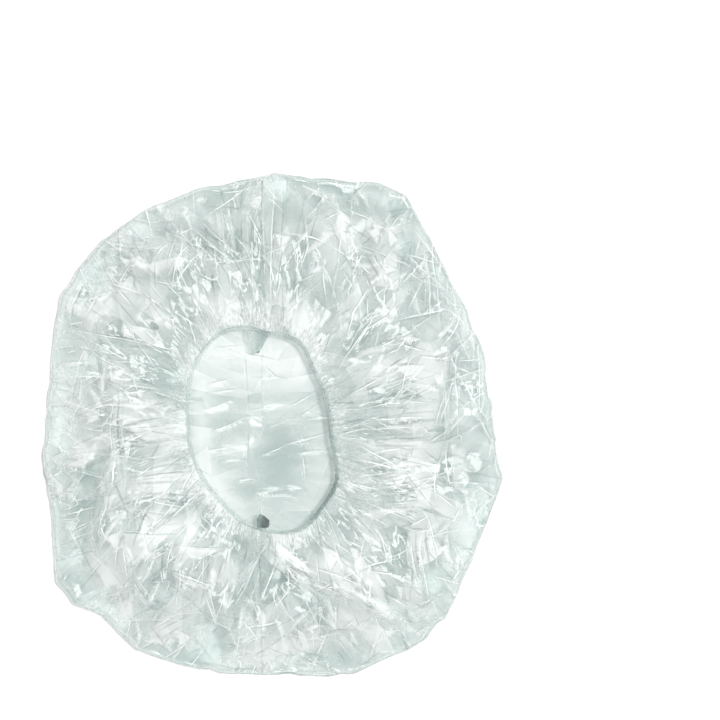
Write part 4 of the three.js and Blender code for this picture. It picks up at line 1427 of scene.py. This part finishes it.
def film_colour(film, tint, crown_shade_tint, milk_and_sheen, shade):
    """What the film lets through, with painted shade under the crown, in the clearest places, beside the
    ridges and along the outer fold."""
    from_edge = abs(film.along - (CROWN_MAP_START + EDGE_MAP_REACH))
    colour = mixed(ramp(film.along, *CROWN_BAND) * ramp(milk_and_sheen, *CROWN_SHADE_RAMP), tint, crown_shade_tint)
    colour = mixed(ramp(milk_and_sheen, CLEAREST, CLEAR_START, 1.0, 0.0), colour, CLEAR_SHADE_TINT, "MULTIPLY")
    colour = mixed(shade, colour, SHADE_TINT)
    return mixed(ramp(from_edge, 0.6 * EDGE_REACH, EDGE_REACH, EDGE_SHADE, 0.0), colour, EDGE_SHADE_TINT)


def film_milk_and_sheen(film, haze, milk_and_sheen, line, shade):
    """How milky the film is, partly its haze and partly painted sheen: the kept milk, with shares of the
    clouds, the streaks and, beside the hem, fine hairs, carried from the haze to the milkiest. It is less
    in the painted shades, and white on the lines, which stand partly for painted highlights."""
    cloud = (film.cloud - 0.5) * film.pressed + 0.5
    hair = (noise(film.bent_on * HAIR_CELLS, 1.0, 1.0) - 0.5) * film.near_hem
    milk_and_sheen = milk_and_sheen + cloud * CLOUD_SHARE + film.streak * STREAK_SHARE
    milk_and_sheen = milk_and_sheen + hair * HAIR_SHARE + film.near_hem * HEM_MILK_AND_SHEEN
    milky_sheen = ramp(milk_and_sheen, MILK_START, MILK_END, haze, MILK_MOST) * (shade * -SHADE_CUT + 1.0)
    return milky_sheen.largest(line * LINE_WHITE)


def film_finish(name, tint, mirror, haze, lean, fine_lean, crown_shade_tint=None, layer_shade_tint=None, graze=0.85):
    """Clear film: tint is what it lets through, mirror how much it throws back face on, graze how much more
    it does edge on, haze how milky it is, lean how far its facets tilt and fine_lean how far its finest
    pleats do. A film with a crown shade tint paints that shade under the crown, and also carries marks: its
    ridges, with painted highlights and shade, and its milky places, partly haze and partly painted sheen. A
    film with a layer shade tint paints it on as shade where its kept shade says so."""
    material, tree = new_finish(name)
    film = film_patterns(tree)
    facet = facet_normal(film, lean, fine_lean)
    colour = (*tint, 1)
    milky = haze
    if layer_shade_tint:
        shade_layers = read(tree, "ShaderNodeAttribute", "Fac", attribute_name="shade_layers")
        colour = mixed(shade_layers * ramp(film.cloud, *LAYER_SHADE_RAMP), tint, layer_shade_tint)
    if crown_shade_tint:
        away, sharp, milk_and_sheen = kept(tree, "marks")
        line, shade = kept_lines(film, away, sharp)
        colour = film_colour(film, tint, crown_shade_tint, milk_and_sheen, shade)
        milky = film_milk_and_sheen(film, haze, milk_and_sheen, line, shade)
    clear = read(tree, "ShaderNodeBsdfTransparent", 0, {"Color": colour})
    body = read(tree, "ShaderNodeBsdfDiffuse", 0, {"Color": (*MILK_TINT, 1)})
    sheen, glint = (
        read(tree, "ShaderNodeBsdfGlossy", 0, {"Color": (1, 1, 1, 1), "Roughness": rough, "Normal": facet})
        for rough in (ramp(film.cloud, *SHEEN_RAMP), GLINT_ROUGHNESS)
    )
    facing = read(tree, "ShaderNodeLayerWeight", "Facing", {"Blend": 0.5, "Normal": facet})
    thrown_back = facing.work("POWER", GRAZE_POWER) * graze + mirror
    glossy = mixed_shader(thrown_back, clear, mixed_shader(0.5, sheen, glint))
    show(mixed_shader(milky, glossy, body))
    return material


# %% [markdown]
# The inside of the film's wall would show everything twice, so it is left almost empty. The elastic is
# seen only through the hem, and a pale strand with milky ribs is enough for it. The weld and the tabs are
# film too, with more or less of its tint and mirror.

# %% The other finishes
RIB_CELLS = (900.0, 120.0, 1.0)
RIB_RAMP = (0.3, 0.7, 0.05, 0.25)
INSIDE_SCALE = 30.0
INSIDE_TINT = (0.985, 0.993, 0.991)
STRAND_TINT = (0.95, 0.97, 0.965)
STRAND_BODY = (0.80, 0.85, 0.83)


def inner_finish():
    """The inner wall of the film: almost nothing, with a breath of the film's tint that comes and goes."""
    material, tree = new_finish("film_inside")
    spot = read(tree, "ShaderNodeTexCoord", "Object")
    tint = mixed(noise(spot, INSIDE_SCALE, 0.0), INSIDE_TINT, (1, 1, 1))
    show(read(tree, "ShaderNodeBsdfTransparent", 0, {"Color": tint}))
    return material


def strand_finish():
    """Pale elastic: a strand that lets most light through, milkier on each rib of its knit."""
    material, tree = new_finish("pale_elastic")
    place_on = read(tree, "ShaderNodeUVMap", "UV", uv_map="surface_map")
    milky = ramp(noise(place_on * RIB_CELLS, 1.0, 2.0), *RIB_RAMP)
    clear = read(tree, "ShaderNodeBsdfTransparent", 0, {"Color": (*STRAND_TINT, 1)})
    body = read(tree, "ShaderNodeBsdfDiffuse", 0, {"Color": (*STRAND_BODY, 1)})
    show(mixed_shader(milky, clear, body))
    return material


# The film's crown shade tint is a painted shade under the crown. The layer shade tints of the hem and the
# tabs are painted shade on their shaded sides.
FINISHES = {
    "film": film_finish(
        "clear_film", (0.946, 0.971, 0.965), 0.17, 0.010, 0.15, 0.14, crown_shade_tint=(0.630, 0.695, 0.679),
    ),
    "inside": inner_finish(),
    "hem": film_finish(
        "gathered_hem", (0.955, 0.972, 0.967), 0.05, 0.06, 0.25, 0.30,
        layer_shade_tint=(0.49, 0.56, 0.55), graze=0.3,
    ),
    "seam": film_finish("weld_line", (0.997, 0.999, 0.998), 0.004, 0.004, 0.1, 0.1, graze=0.05),
    "back_tab": film_finish(
        "welded_film", (0.93, 0.955, 0.95), 0.06, 0.10, 0.30, 0.30,
        layer_shade_tint=(0.70, 0.765, 0.75), graze=0.4,
    ),
    "front_tab": film_finish(
        "crushed_weld", (0.66, 0.73, 0.71), 0.06, 0.06, 0.30, 0.30,
        layer_shade_tint=(0.30, 0.36, 0.35), graze=0.4,
    ),
    "elastic": strand_finish(),
}
for piece in film_pieces.values():
    piece.data.materials.append(FINISHES["film"])
    piece.data.materials.append(FINISHES["inside"])
for piece in hem_pieces.values():
    piece.data.materials.append(FINISHES["hem"])
for piece in elastic_pieces.values():
    piece.data.materials.append(FINISHES["elastic"])
seam.data.materials.append(FINISHES["seam"])
for node, piece in tab_pieces.items():
    piece.data.materials.append(FINISHES[node])
print("finishes", ", ".join(FINISHES))

# %% [markdown]
# The floor is plain and pale. It is lit like the rest, and for the eye alone it gets the little more that
# makes it white, so the cap's soft shadow still shows on it. The room is white all round and greyer
# overhead, which is what leaves the film its grey-green tone between the glints.

# %% The floor and the room
FLOOR_LEVEL = -0.0004
FLOOR_REACH = 4.0
FLOOR_TONE = 0.92
FLOOR_LIFT = 0.13
FAR_LIFT = 1.0
FAR_START = 0.16
FAR_END = 1.2
ROOM_LIGHT = 0.08
CEILING_TONE = 0.26
CEILING_BAND = (0.25, 0.88)


def seen_ray(tree):
    """1 for a ray from the eye, or from a mirror or a clear body, and 0 for a ray that only lights."""
    path = put(tree, "ShaderNodeLightPath").outputs
    camera_ray, mirrored, sent_on = (
        Wire(path[f"Is {kind} Ray"]) for kind in ("Camera", "Glossy", "Transmission")
    )
    return camera_ray.largest(mirrored).largest(sent_on)


def floor_finish():
    """Pale paint, plus a glow for seen rays only, which takes over where the lamps no longer reach."""
    material, tree = new_finish("pale_floor")
    paint = read(tree, "ShaderNodeBsdfDiffuse", 0, {"Color": (FLOOR_TONE, FLOOR_TONE, FLOOR_TONE, 1)})
    spot = read(tree, "ShaderNodeTexCoord", "Object")
    away = read(tree, "ShaderNodeVectorMath", "Value", {0: spot}, operation="LENGTH")
    lift = ramp(away, FAR_START, FAR_END, FLOOR_LIFT, FAR_LIFT)
    glow = read(tree, "ShaderNodeEmission", 0, {"Strength": seen_ray(tree) * lift})
    show(read(tree, "ShaderNodeAddShader", 0, {0: paint, 1: glow}))
    return material


floor_corners = [
    (a * FLOOR_REACH, b * FLOOR_REACH, FLOOR_LEVEL) for a, b in ((-1, -1), (1, -1), (1, 1), (-1, 1))
]
floor_mesh = bpy.data.meshes.new("floor")
floor_mesh.from_pydata(floor_corners, [], [(0, 1, 2, 3)])
floor = bpy.data.objects.new("floor", floor_mesh)
bpy.context.scene.collection.objects.link(floor)
floor_mesh.materials.append(floor_finish())

room = bpy.data.worlds.new("room")
bpy.context.scene.world = room
room.use_nodes = True
sky = room.node_tree
way_up = split(read(sky, "ShaderNodeTexCoord", "Generated"))[2]
tone = ramp(way_up, *CEILING_BAND, 1.0, CEILING_TONE)
strength = (tone - ROOM_LIGHT) * seen_ray(sky) + ROOM_LIGHT
backdrop = sky.nodes["Background"]
backdrop.inputs["Color"].default_value = (1, 1, 1, 1)
sky.links.new(strength.socket, backdrop.inputs["Strength"])
print("floor", 2 * FLOOR_REACH, "m wide, room overhead at", CEILING_TONE)

# %% [markdown]
# Clear film needs something to mirror. Softboxes stand in a ring overhead, so that each facet finds one
# of them or the dark between, and one small lamp a little to the right gives the rim its shadow.

# %% The lamps
LAMP_DISTANCE = 1.25
# Name, compass direction and angle from straight up in degrees, width and depth in metres, brightness.
LAMPS = (
    ("back_softbox", 85, 24, 0.50, 0.32, 2.1),
    ("left_softbox", 158, 27, 0.32, 0.46, 2.1),
    ("front_softbox", 236, 24, 0.50, 0.32, 2.1),
    ("right_softbox", 318, 26, 0.32, 0.46, 2.1),
    ("far_softbox", 20, 38, 0.34, 0.44, 2.1),
    ("small_lamp", 22, 11, 0.10, 0.10, 325.0),
)


def add_lamp(name, compass, tilt, width, depth, brightness):
    """A softbox on a dome over the cap, aimed at its middle. Its power is 4 x area x brightness."""
    lamp = bpy.data.lights.new(name, "AREA")
    lamp.shape = "RECTANGLE"
    lamp.size = width
    lamp.size_y = depth
    lamp.energy = 4 * width * depth * brightness
    made = bpy.data.objects.new(name, lamp)
    bpy.context.scene.collection.objects.link(made)
    around = math.radians(compass)
    down = math.radians(tilt)
    place = Vector((math.sin(down) * math.cos(around), math.sin(down) * math.sin(around), math.cos(down)))
    made.location = place * LAMP_DISTANCE
    made.rotation_euler = (-place).to_track_quat("-Z", "Y").to_euler()


for lamp in LAMPS:
    add_lamp(*lamp)
bpy.data.objects["small_lamp"].visible_glossy = False
print("lamps", ", ".join(lamp[0] for lamp in LAMPS))

# %% [markdown]
# The camera looks straight down from about a metre, with the cap to the left of the picture and below its
# middle. One pixel of the 720 wide picture is VIEW_SCALE millimetres at the height of the outer fold.

# %% The camera
LENS = 120.0
SENSOR = 36.0
PICTURE = 720
VIEW_SCALE = 0.4235
CAP_PIXEL = (273.5, 425.0)
MOST_LAYERS = 48
camera_data = bpy.data.cameras.new("camera")
camera_data.lens = LENS
camera_data.sensor_width = SENSOR
camera = bpy.data.objects.new("camera", camera_data)
bpy.context.scene.collection.objects.link(camera)
camera.location = (
    (PICTURE / 2 - CAP_PIXEL[0]) * VIEW_SCALE * MM,
    (CAP_PIXEL[1] - PICTURE / 2) * VIEW_SCALE * MM,
    (PICTURE * VIEW_SCALE * LENS / SENSOR + EDGE_HEIGHT / 2) * MM,
)
bpy.context.scene.camera = camera
bpy.context.scene.view_settings.view_transform = "Standard"
bpy.context.scene.cycles.transparent_max_bounces = MOST_LAYERS
print("camera at", [round(value, 3) for value in camera.location])
